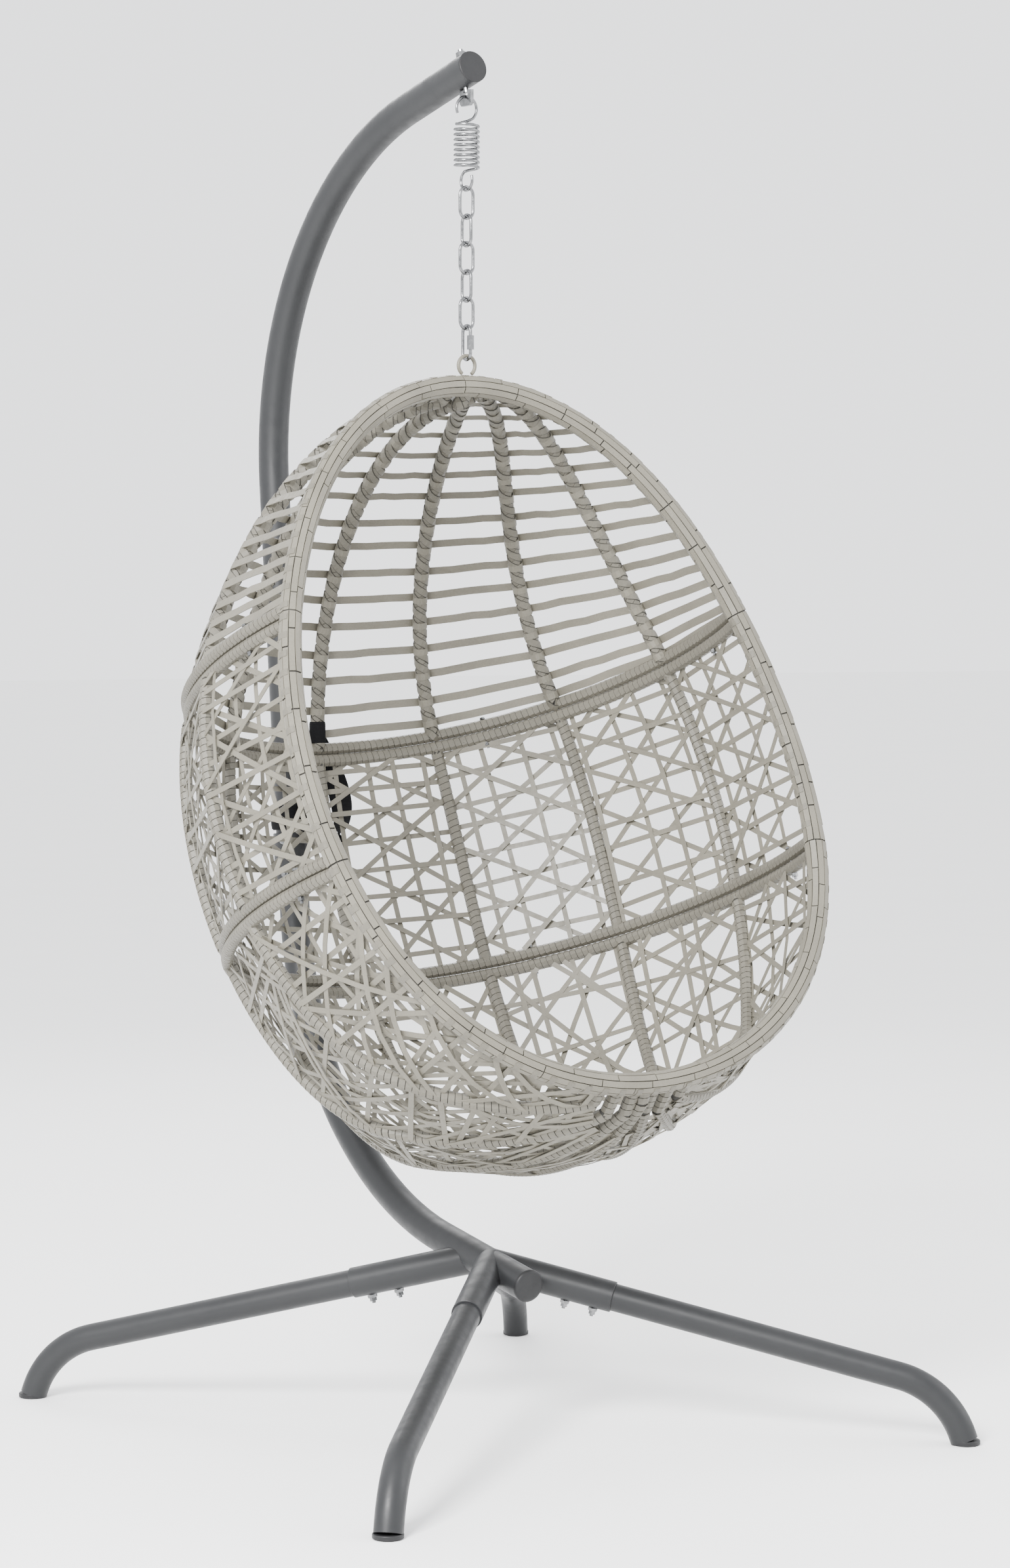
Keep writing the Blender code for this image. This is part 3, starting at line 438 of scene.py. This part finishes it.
def legLine(foot, crossing):
    outer = Vector((foot[0], foot[1], 0))
    outward = (outer - Vector((0, crossing, 0))).normalized()
    slope, end = math.atan(legs["rise"]), legs["footAngle"]
    drop = legs["baseZ"] - legs["bend"] * (math.cos(slope) - math.cos(end))
    run = legs["bend"] * (math.sin(end) - math.sin(slope))
    straight = (drop + legs["rise"] * run) / (math.sin(end) - legs["rise"] * math.cos(end))
    start = run + straight * math.cos(end)

    def place(t, z):
        return outer - outward * t + up * z

    bendZ = legs["baseZ"] + legs["rise"] * start
    points = [place(legs["inner"], legs["baseZ"] + legs["rise"] * legs["inner"])]
    points += [place(start - legs["bend"] * (math.sin(a) - math.sin(slope)),
                     bendZ - legs["bend"] * (math.cos(slope) - math.cos(a))) for a in spread(slope, end, 20)]
    down = (place(0, 0) - points[-1]).normalized()
    points.append(place(0, 0) - down * (legs["footCut"] / -down.z))
    return points, place


for sideName, sign in (("left", -1), ("right", 1)):
    for endName, (foot, crossing) in legs["feet"].items():
        foot = (foot[0] * sign, foot[1])
        points, place = legLine(foot, crossing)
        name = f"{endName}_{sideName}"
        leg = sweepRods(f"leg_{name}_tube", [points], legs["radius"], coat, legs["sides"])
        done(leg, "stand", "powder_coated_steel", f"leg_{name}")
        reach = (Vector((foot[0], foot[1], 0)) - Vector((0, crossing, 0))).length
        start, end = (place(t, legs["baseZ"] + legs["rise"] * t) for t in (legs["socketStart"], reach))
        wide, edge = legs["socketRadius"], legs["socketEdge"]
        profile = [(0.0, legs["radius"]), (0.0, wide - edge), (edge, wide), ((end - start).length, wide)]
        socket = turned(f"socket_{name}", start, end - start, profile, coat, 44)
        done(socket, "stand", "powder_coated_steel", f"leg_socket_{name}")
        cap = turned(f"footCap_{name}", (foot[0], foot[1], 0), up, legs["cap"], blackPlastic, 40)
        done(cap, "stand", "black_webbing_and_plastic", f"foot_cap_{name}")
print("stand made")

# the spring and the chain; each hook: first angle, last angle, points
hang = {"hookTop": 1.8899, "wire": 0.0021, "radius": 0.0169, "coilTop": 1.8505, "pitch": 0.0072,
        "turns": 8.45, "perTurn": 32, "topHook": (205, -50, 36), "lowerHook": (60, -205, 34), "ease": 1.3,
        "lowerEase": 0.6, "easeSteps": 14, "lowerRadius": 0.0140, "lowerZ": 1.7718, "sides": 14,
        "contact": 0.0003, "links": 5, "linkWire": 0.00235, "linkHalf": 0.01115, "linkLength": 0.0441,
        "quickWire": 0.0025, "quickHalf": 0.0095, "quickLength": 0.0485, "quickSides": 16}


def hermite(start, startWay, end, endWay, steps):
    return [start * (2 * t ** 3 - 3 * t * t + 1) + startWay * (t ** 3 - 2 * t * t + t)
            + end * (3 * t * t - 2 * t ** 3) + endWay * (t ** 3 - t * t)
            for t in (i / steps for i in range(1, steps))]


def springLine():
    r, perTurn, steps = hang["radius"], hang["perTurn"], hang["easeSteps"]
    path = arc(right, hang["hookTop"] - r, r, *hang["topHook"])
    last = math.radians(hang["topHook"][1])
    way = right * math.sin(last) - up * math.cos(last)
    reach = r * hang["ease"]
    path += hermite(path[-1], way * reach, Vector((-r, 0, hang["coilTop"])), -back * reach, steps)
    for i in range(round(hang["turns"] * perTurn) + 1):
        a = math.pi + math.tau * i / perTurn
        path.append(Vector((r * math.cos(a), r * math.sin(a), hang["coilTop"] - hang["pitch"] * i / perTurn)))
    way = (path[-1] - path[-2]).normalized()
    hook = arc(back, hang["lowerZ"], hang["lowerRadius"], *hang["lowerHook"])
    arrive = (hook[1] - hook[0]).normalized() * hang["lowerEase"]
    return path + hermite(path[-1], way * reach, hook[0], arrive * reach, steps) + hook


def stadium(topZ, length, half, side):
    straight, centreZ = length / 2 - half, topZ - length / 2
    return [side * half * math.cos(a) * sign + up * (centreZ + sign * (straight + half * math.sin(a)))
            for sign in (1, -1) for a in spread(0, math.pi, 15)]


spring = sweepRods("springWire", [springLine()], hang["wire"], zinc, hang["sides"])
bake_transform(spring)
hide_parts("spring")
linkTop = hang["lowerZ"] - hang["lowerRadius"] + hang["wire"] + hang["linkWire"] + hang["contact"]
for number in range(1, hang["links"] + 1):
    line = stadium(linkTop, hang["linkLength"], hang["linkHalf"], right if number % 2 else back)
    link = sweepRods(f"chainLink{number}", [line], hang["linkWire"], zinc, hang["sides"], True)
    done(link, f"chain_link_{number}", "bright_zinc", f"chain_link_{number}")
    linkBottom = linkTop - hang["linkLength"]
    linkTop = linkBottom + 2 * hang["linkWire"] + hang["contact"]
quickTop = linkBottom + hang["linkWire"] + hang["quickWire"] + hang["contact"]
line = stadium(quickTop, hang["quickLength"], hang["quickHalf"], back)
quick = sweepRods("quickLink", [line], hang["quickWire"], zinc, hang["quickSides"], True)
done(quick, "quick_link", "bright_zinc", "quick_link")
print("spring and chain made")

# the egg: theta runs down the rim, alpha round each level from the back, both in degrees
egg = {"rimTop": (-0.002, 1.4813), "rimBottom": (-0.4273, 0.5285), "halfWidth": 0.411,
       "rimWidth": (1, -0.1054, 0.078), "rimOut": (-0.0072, -0.0098, 0.0243),
       "centreZ": 0.9875, "depth": 0.4025, "height": 0.471, "side": 108.0, "seams": (71.1, 111.45),
       "ribStep": 27.0, "fan": 40.0, "fanPower": 2.7, "profile": (0.0238430, -1.78566e-4, 7.705419e-7),
       "backCurve": ((0.4025, 0.9875), (0.4025, 0.800), (0.2145, 0.3725), (-0.0555, 0.3725)),
       "frontCurve": ((-0.0555, 0.3725), (-0.2155, 0.3725), (-0.3655, 0.430), (-0.4273, 0.515))}
upper, lower = egg["seams"]


def bezier(points, t):
    weights = ((1 - t) ** 3, 3 * t * (1 - t) ** 2, 3 * t * t * (1 - t), t ** 3)
    return Vector((0, *(sum(w * p[axis] for w, p in zip(weights, points)) for axis in (0, 1))))


def quadratic(factors, x):
    return factors[0] + factors[1] * x + factors[2] * x * x


def rimPoint(theta, sign=1):
    c, s = math.cos(math.radians(theta)), math.sin(math.radians(theta))
    top, bottom = egg["rimTop"], egg["rimBottom"]
    rise = Vector((0, top[0] - bottom[0], top[1] - bottom[1]))
    forward = Vector((0, -rise.z, rise.y)).normalized()
    half = egg["halfWidth"] * s * quadratic(egg["rimWidth"], c)
    out = s * s * quadratic(egg["rimOut"], c)
    return Vector((half * sign, bottom[0], bottom[1])) + rise * (1 + c) / 2 + forward * out


def profilePoint(theta):
    # an ellipse down to its widest level, then two curves to the rim's foot
    u = theta * quadratic(egg["profile"], theta)
    if u < 1:
        a = math.pi / 2 * u
        return Vector((0, egg["depth"] * math.sin(a), egg["centreZ"] + egg["height"] * math.cos(a)))
    return bezier(egg["backCurve"], u - 1) if u < 2 else bezier(egg["frontCurve"], min(u - 2, 1))


def eggPoint(theta, alpha):
    rim, far = rimPoint(theta), profilePoint(theta)
    side = math.cos(math.radians(egg["side"]))
    depth = (math.cos(math.radians(alpha)) - side) / (1 - side)
    x = rim.x * math.sin(math.radians(alpha)) / math.sin(math.radians(egg["side"]))
    rim.x = 0
    return rim.lerp(far, depth) + right * x


def eggNormal(theta, alpha):
    down = eggPoint(theta + 0.5, alpha) - eggPoint(theta - 0.5, alpha)
    across = eggPoint(theta, alpha + 0.5) - eggPoint(theta, alpha - 0.5)
    return across.cross(down).normalized()


def ribAlpha(index, theta):
    # ribs are numbered -3 to 3 from the left; above the upper seam they fan out
    above = max(0.0, (upper - theta) / upper)
    fan = egg["fan"] * math.sin(math.radians(45.0 * index)) * above ** egg["fanPower"]
    return egg["ribStep"] * index + fan


def edgeAlpha(index, theta):
    # bay edges: the ribs, and the rim at either end
    return math.copysign(egg["side"], index) if abs(index) > 3 else ribAlpha(index, theta)


def seamAxis(theta):
    rim, far = rimPoint(theta), profilePoint(theta)
    return right.cross(Vector((0, far.y - rim.y, far.z - rim.z))).normalized()


# rods, and the strips wound on them; ribs are listed by their distance from the middle one
cane = {"seed": 7, "rib": 0.0084, "hoop": 0.0086, "hoopOffset": 0.0093, "hoopLimit": 107.0, "coreStep": 0.012,
        "hoopCore": 0.0084, "wrapThick": 0.0012, "wrapPitch": 0.0098, "wrapWide": 0.0086, "wrapLift": 0.0004,
        "hoopPitch": 0.0094, "hoopWide": 0.0084,
        "ribStarts": (1.0, 3.5, 5.5, 9.0), "rimMeets": (0.0, 4.3, 7.2, 12.4),
        "ribEnds": (178.5, 176.0, 174.0, 172.0),
        "seamGaps": {"dome": 1.6, "middleTop": 2.2, "bottom": 1.8}}
random.seed(cane["seed"])


def ribLine(index, start, end):
    return [eggPoint(t, ribAlpha(index, t)) for t in spread(start, end, 60)]


def hoopEnd(index, theta, offset):
    return eggPoint(theta, ribAlpha(index, theta)) + seamAxis(theta) * offset


def rimEnd(index):
    share = math.sin(math.radians(egg["ribStep"] * abs(index))) / math.sin(math.radians(egg["side"]))
    return rimPoint(180 - (180 - cane["ribEnds"][abs(index)]) * share, math.copysign(1, index))


def hoopLine(theta, offset):
    axis = seamAxis(theta)
    return [eggPoint(theta, a) + axis * offset for a in spread(-cane["hoopLimit"], cane["hoopLimit"], 120)]


numbers, offset, gaps = range(-3, 4), cane["hoopOffset"], cane["seamGaps"]
topRibs = [[rimPoint(cane["rimMeets"][abs(i)], math.copysign(1, i))]
           + ribLine(i, cane["ribStarts"][abs(i)], upper - gaps["dome"]) + [hoopEnd(i, upper, offset)]
           for i in numbers]
middleRibs = [[hoopEnd(i, upper, -offset)] + ribLine(i, upper + gaps["middleTop"], lower - gaps["bottom"])
              + [hoopEnd(i, lower, offset)] for i in numbers]
bottomRibs = [[hoopEnd(i, lower, -offset)] + ribLine(i, lower + gaps["bottom"], cane["ribEnds"][abs(i)])
              + [rimEnd(i)] for i in numbers]
topHoops = [hoopLine(upper, offset)]
middleHoops = [hoopLine(upper, -offset), hoopLine(lower, offset)]
bottomHoops = [hoopLine(lower, -offset)]

braid = {"pitch": 0.042, "perTurn": 12, "under": 0.0106, "over": 0.0098, "edge": 0.0016, "first": 0.0003,
         "second": 0.0017, "sunk": 0.0006, "shadeThick": 0.0008}


def braidRibs(name, lines):
    # three strips one way and two the other, each of those over a slightly wider dark strip of painted shade
    # that outlines it
    under, over, shade = [], [], []
    low, high = cane["rib"] + braid["first"], cane["rib"] + braid["second"]
    for line in lines:
        for k in range(3):
            under.append(wound(line, low, braid["pitch"], 1, braid["perTurn"], math.tau * k / 3))
        for k in range(2):
            over.append(wound(line, high, braid["pitch"], -1, braid["perTurn"], math.pi * k))
            shade.append(wound(line, high - braid["sunk"], braid["pitch"], -1, braid["perTurn"], math.pi * k))
    return joined(name, [
        sweepStrips(name + "Under", under, braid["under"], cane["wrapThick"], caneWrap),
        sweepStrips(name + "Shade", shade, braid["over"] + braid["edge"], braid["shadeThick"], paintedShadeCane),
        sweepStrips(name + "Over", over, braid["over"], cane["wrapThick"], caneWrap)])


def wrapRibs(name, lines):
    turns = [wound(line, cane["rib"] + cane["wrapLift"], cane["wrapPitch"]) for line in lines]
    return sweepStrips(name, turns, cane["wrapWide"], cane["wrapThick"], caneWrap)


def wrapHoops(name, lines):
    turns = [wound(line, cane["hoop"], cane["hoopPitch"]) for line in lines]
    return sweepStrips(name, turns, cane["hoopWide"], cane["wrapThick"], caneWrap)


def cores(name, lines, radius):
    # the rods are coloured as painted shade, seen dark in the gaps between the wraps
    return sweepRods(name, [resampled(line, cane["coreStep"]) for line in lines], radius, paintedShadeCane)


def frameOf(section, ribs, hoops, wrap, node):
    frameWork = joined(section + "Frame", [
        cores(section + "Cores", ribs, cane["rib"]), cores(section + "HoopCores", hoops, cane["hoopCore"]),
        wrap(section + "RibWraps", ribs), wrapHoops(section + "HoopWraps", hoops)])
    done(frameWork, "basket", "grey_wicker", node)


# dome rows: strips laid outside the ribs, straight between them, with a turn round each rib.
# A row lies in a plane that is level at the top of the dome and leans like the seam at its foot.
rows = {"starts": (5.3, 9.4, 13.5, 17.4, 21.1, 24.7, 29.1, 32.9, 37.4, 41.7, 46.3, 51.2, 56.0, 61.4, 66.3),
        "leanPower": 1.7, "rimShare": 0.996, "overRib": 0.0022, "overRim": 0.0125, "turnLift": 0.0024,
        "turnPhase": 0.7, "sag": (-0.001, 0.0015), "steps": 6,
        "wide": 0.0120, "turnWide": 0.0098, "thick": 0.0011}
seamRise = (rimPoint(upper).z - profilePoint(upper).z) / (profilePoint(upper).y - rimPoint(upper).y)


def rowAlpha(index, theta):
    return edgeAlpha(index, theta) * (1 if abs(index) < 4 else rows["rimShare"])


def rowTheta(index, start, lean):
    # where a bay edge meets the row's plane, by halving
    low, high = start * 0.5, upper + 30.0
    far = profilePoint(start)
    for _ in range(40):
        theta = (low + high) / 2
        place = eggPoint(theta, rowAlpha(index, theta))
        if place.z > far.z + lean * (far.y - place.y):
            low = theta
        else:
            high = theta
    return low


def domeRow(start, phase):
    lean = seamRise * (start / upper) ** rows["leanPower"]
    points, facing, turns = [], [], []
    for index in range(-4, 5):
        theta = rowTheta(index, start, lean)
        alpha = rowAlpha(index, theta)
        centre, out = eggPoint(theta, alpha), eggNormal(theta, alpha)
        onRib = abs(index) < 4
        points.append(centre + out * (cane["rib"] + rows["overRib"] if onRib else rows["overRim"]))
        facing.append(out)
        if onRib:
            ahead, behind = theta + 0.5, theta - 0.5
            way = eggPoint(ahead, edgeAlpha(index, ahead)) - eggPoint(behind, edgeAlpha(index, behind))
            turns.append(hoopRound(centre, way, cane["rib"] + rows["turnLift"], phase))
    dense, denseFacing = [], []
    for a, b, na, nb in zip(points, points[1:], facing, facing[1:]):
        for i in range(rows["steps"]):
            t = i / rows["steps"]
            sag = 4 * t * (1 - t) * random.uniform(*rows["sag"])
            dense.append(a.lerp(b, t) - up * sag)
            denseFacing.append(na.lerp(nb, t).normalized())
    return (dense + [points[-1]], denseFacing + [facing[-1]], False), turns


rowStrips, rowTurns = [], []
for number, theta in enumerate(rows["starts"]):
    strip, turns = domeRow(theta, number * rows["turnPhase"])
    rowStrips.append(strip)
    rowTurns += turns
domeWeave = joined("domeWeave", [
    sweepStrips("rowStrips", rowStrips, rows["wide"], rows["thick"], caneLight),
    sweepStrips("rowTurns", rowTurns, rows["turnWide"], rows["thick"], caneLight)])
done(domeWeave, "basket", "grey_wicker", "weave_top")
frameOf("dome", topRibs, topHoops, braidRibs, "top_frame")
print("dome made")

# star weave: straight strips at many angles between a bay's edges. A section's plan counts its
# strips, and gives the slant and the play as shares of the section and of the spacing.
star = {"wide": 0.0076, "thick": 0.0011, "lift": (0.0005, 0.0085), "steps": 5, "levelDrift": 0.12,
        "uprightDrift": 0.3, "leastAcross": 0.08, "leastDown": 0.2, "seamGap": 1.5, "foot": 172.0,
        "middle": {"level": 8, "upright": 4, "slanted": 5, "slant": 0.42, "play": 0.16},
        "bottom": {"level": 12, "upright": 4, "slanted": 10, "slant": 0.32, "play": 0.45}}


def chordPoint(first, theta, share, lift):
    a, b = edgeAlpha(first, theta), edgeAlpha(first + 1, theta)
    out = eggNormal(theta, a + (b - a) * share)
    return eggPoint(theta, a).lerp(eggPoint(theta, b), share) + out * lift, out


def starPlans(start, end, plan):
    # level, upright and two slanted families, each evenly spaced with a little play
    span, plans = end - start, []

    def played(factor=1.0):
        return random.uniform(-plan["play"], plan["play"]) * factor

    for number in range(plan["level"]):
        t = start + span * (number + 0.5 + played()) / plan["level"]
        plans.append(((t, 0.0), (t + played(star["levelDrift"]) * span, 1.0)))
    for number in range(plan["upright"]):
        s = (number + 0.5 + played()) / plan["upright"]
        plans.append(((start, s), (end, min(1, max(0, s + played(star["uprightDrift"]))))))
    for sign in (1, -1):
        for number in range(-1, plan["slanted"] + 1):
            t = start + span * (number + 0.5 + played()) / plan["slanted"]
            change = plan["slant"] * span * (1 + played())
            plans.append(((t - sign * change / 2, 0.0), (t + sign * change / 2, 1.0)))
    return plans


def starBay(first, start, end, plan):
    strips = []
    for (t0, s0), (t1, s1) in starPlans(start, end, plan):
        # cut at the bay's upper and lower edges
        if max(t0, t1) < start or min(t0, t1) > end:
            continue
        for edge, outside in ((start, lambda v: v < start), (end, lambda v: v > end)):
            if outside(t0):
                s0, t0 = s0 + (s1 - s0) * (edge - t0) / (t1 - t0), edge
            elif outside(t1):
                s1, t1 = s0 + (s1 - s0) * (edge - t0) / (t1 - t0), edge
        if abs(s1 - s0) < star["leastAcross"] and abs(t1 - t0) < star["leastDown"] * (end - start):
            continue
        lift = random.uniform(*star["lift"])
        places, facing = zip(*(chordPoint(first, t0 + (t1 - t0) * u, s0 + (s1 - s0) * u, lift)
                               for u in (i / star["steps"] for i in range(star["steps"] + 1))))
        strips.append((list(places), list(facing), False))
    return strips


def starWeave(section, start, end):
    strips = [strip for first in range(-4, 4) for strip in starBay(first, start, end, star[section])]
    woven = sweepStrips(section + "Weave", strips, star["wide"], star["thick"], caneLight)
    done(woven, "basket", "grey_wicker", "weave_" + section)


starWeave("middle", upper + star["seamGap"], lower - star["seamGap"])
frameOf("middle", middleRibs, middleHoops, wrapRibs, "middle_frame")
starWeave("bottom", lower + star["seamGap"], star["foot"])
frameOf("bottom", bottomRibs, bottomHoops, wrapRibs, "bottom_frame")
print("middle and bottom made")

# the rim: rows of flat strips in a brick pattern, and part turns of strip at intervals
rimCare = {"radius": 0.0136, "rows": 10, "step": 0.009, "brick": (0.055, 0.095), "firstBrick": (0.3, 0.7),
           "leastBrick": 3, "low": 0.0002, "climb": 0.0009, "gap": 0.001, "wide": 0.0081, "thick": 0.0011,
           "turnEvery": 0.024, "turnReach": 1.75, "turnLift": 0.0016, "turnWide": 0.0088, "turnThick": 0.0010,
           "sides": 16}
seamSide = (profilePoint(upper) - rimPoint(upper)).normalized()


def rimRow(line, frames, row):
    # one row of bricks; each brick's far end lies on the next one
    angle, last, i, bricks = math.tau * (row + 0.5) / rimCare["rows"], len(line) - 1, 0, []
    least = rimCare["leastBrick"]
    while i < last - 1:
        length = round(random.uniform(*rimCare["brick"]) / rimCare["step"])
        if i == 0:
            base, more = rimCare["firstBrick"]
            length = max(least, round(length * (base + more * (row % 3) / 2)))
        end = min(i + length, last)
        if last - end < least:
            end = last
        places, facing = [], []
        for k in range(i, end + 1):
            way, side, third = frames[k]
            out = side * math.cos(angle) + third * math.sin(angle)
            lift = rimCare["radius"] + rimCare["low"] + rimCare["climb"] * (k - i) / max(1, end - i)
            shift = way * (rimCare["gap"] if k == i else -rimCare["gap"] if k == end else 0)
            places.append(line[k] + out * lift + shift)
            facing.append(out)
        bricks.append((places, facing, False))
        i = end
    return bricks


def rimCover(name, line, node):
    line = resampled(line, rimCare["step"])
    frames = framed(line, seamSide)
    bricks = [brick for row in range(rimCare["rows"]) for brick in rimRow(line, frames, row)]
    every, reach, turns = round(rimCare["turnEvery"] / rimCare["step"]), rimCare["turnReach"], []
    for k in range(every // 2, len(line) - 1, every):
        facing = around(*frames[k][1:], spread(-reach, reach, 11))
        places = [line[k] + out * (rimCare["radius"] + rimCare["turnLift"]) for out in facing]
        turns.append((places, facing, False))
    cover = joined(name, [
        # the core rod is coloured as painted shade, seen dark in the gaps between the bricks
        sweepRods(name + "Core", [line], rimCare["radius"] - rimCare["low"], paintedShadeCane, rimCare["sides"]),
        sweepStrips(name + "Strips", bricks, rimCare["wide"], rimCare["thick"], caneLight),
        sweepStrips(name + "Turns", turns, rimCare["turnWide"], rimCare["turnThick"], caneWrap)])
    done(cover, "basket", "grey_wicker", node)


def rimLoop(start, middle):
    # along the left side to the middle, and back along the right side
    return ([rimPoint(t, -1) for t in spread(start, middle, 90)]
            + [rimPoint(t, 1) for t in spread(middle, start, 90)][1:])


rimCover("topRim", rimLoop(upper, 0), "top_rim")
for sideName, sign in (("left", -1), ("right", 1)):
    line = [rimPoint(t, sign) for t in spread(upper, lower, 60)]
    rimCover(f"{sideName}Rim", line, f"middle_rim_{sideName}")
rimCover("bottomRim", rimLoop(lower, 180), "bottom_rim")

# the hanging ring: an open loop whose ends run into the rim
ring = {"radius": 0.014, "wire": 0.0027, "arc": (-55, 235, 60), "sides": 20}
ringTop = quickTop - hang["quickLength"] + hang["quickWire"] + hang["contact"] + ring["wire"]
ringLine = arc(right, ringTop - ring["radius"], ring["radius"], *ring["arc"])
ringPiece = sweepRods("hangingRing", [ringLine], ring["wire"], caneLight, ring["sides"])
done(ringPiece, "basket", "grey_wicker", "hanging_ring")
print("rim and ring made")

# the stay strap: knots of the slack run, and half the strap's width at each as a direction
strap = {"knots": ((0.004, 0.421, 0.965), (0.046, 0.426, 0.905), (0.060, 0.428, 0.850), (0.048, 0.435, 0.812),
                   (0.006, 0.4435, 0.838)),
         "halves": ((0.016, 0, 0), (0.014, 0.004, 0.010), (0.012, 0.003, 0.016), (0.006, 0.001, 0.018),
                    (0, 0.002, 0.018)),
         "steps": 12, "wide": 0.044, "thick": 0.0018, "loopTheta": (64.0, 65.7, 67.0),
         "loop": ((-0.016, 0.0095), (-0.016, 0.0115), (-0.013, 0.0122), (0.013, 0.0122), (0.016, 0.0115),
                  (0.016, 0.0095))}


def catmull(knots, i, t):
    p1, p2 = knots[i], knots[i + 1]
    p0 = knots[i - 1] if i > 0 else p1 * 2 - p2
    p3 = knots[i + 2] if i + 2 < len(knots) else p2 * 2 - p1
    return 0.5 * (2 * p1 + (p2 - p0) * t + (2 * p0 - 5 * p1 + 4 * p2 - p3) * t * t
                  + (3 * p1 - p0 - 3 * p2 + p3) * t ** 3)


knots = [Vector(k) for k in strap["knots"]]
halves = [Vector(h) for h in strap["halves"]]
places, facing, lastRun = [], [], len(knots) - 2
for i in range(strap["steps"] * (lastRun + 1) + 1):
    first = min(i // strap["steps"], lastRun)
    t = i / strap["steps"] - first
    way = (catmull(knots, first, min(t + 0.02, 1)) - catmull(knots, first, max(t - 0.02, 0))).normalized()
    half = halves[first].lerp(halves[first + 1], t)
    half = (half - way * half.dot(way)).normalized()
    places.append(catmull(knots, first, t))
    facing.append(way.cross(half).normalized())
strapPiece = sweepStrips("stayStrap", [(places, facing, False)], strap["wide"], strap["thick"], webbing)
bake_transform(strapPiece)
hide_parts("stay_strap")
above, loopAt, below = (eggPoint(theta, 0) for theta in strap["loopTheta"])
ribLoop = turned("strapLoopOnRib", loopAt, above - below, strap["loop"], webbing)
done(ribLoop, "basket", "black_webbing_and_plastic", "strap_rib_loop")

# CAD nodes that stay shown are all bolts and nuts
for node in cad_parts.values():
    if not node.hide_render:
        node.data.materials.clear()
        node.data.materials.append(zinc)
print("strap and small parts made")

# floor, light and camera; each lamp: place, size, power
studio = {"floorHalf": 60, "floorTones": ((0.92, 0.92, 0.915), (0.95, 0.95, 0.945)),
          "sky": (0.97, 0.98, 1.0, 1), "skyStrength": 2.3, "lampAim": (0, 0, 0.9),
          "lamps": {"key": ((-3.6, -2.2, 3.4), 1.6, 700), "fill": ((3.2, -2.2, 2.4), 3.0, 90),
                    "rim": ((1.5, 3.2, 3.2), 2.0, 80)},
          "lens": 87.87, "cameraPlace": (-3.0645, -4.5166, 1.1498), "cameraAim": (0, -0.0955, 0.9187)}


def makeFloor():
    look = Finish("paleFloor", Roughness=0.9)
    look.feed(Base_Color=look.mix(look.noise(2.0), *studio["floorTones"]))
    mesh = bpy.data.meshes.new("floor")
    half = studio["floorHalf"]
    corners = [(-half, -half, 0), (half, -half, 0), (half, half, 0), (-half, half, 0)]
    mesh.from_pydata(corners, [], [(0, 1, 2, 3)])
    mesh.materials.append(look.material)
    floor = bpy.data.objects.new("floor", mesh)
    bpy.context.scene.collection.objects.link(floor)


def aimed(name, data, place, aim):
    obj = bpy.data.objects.new(name, data)
    obj.location = place
    obj.rotation_euler = (Vector(aim) - obj.location).to_track_quat("-Z", "Y").to_euler()
    bpy.context.scene.collection.objects.link(obj)
    return obj


makeFloor()
world = bpy.data.worlds.new("studio")
bpy.context.scene.world = world
world.use_nodes = True
world.node_tree.nodes["Background"].inputs["Color"].default_value = studio["sky"]
world.node_tree.nodes["Background"].inputs["Strength"].default_value = studio["skyStrength"]
for name, (place, size, power) in studio["lamps"].items():
    light = bpy.data.lights.new(name, "AREA")
    light.size, light.energy = size, power
    aimed(name, light, place, studio["lampAim"])
camera = aimed("camera", bpy.data.cameras.new("camera"), studio["cameraPlace"], studio["cameraAim"])
camera.data.lens = studio["lens"]
bpy.context.scene.camera = camera
print("floor, light and camera made")
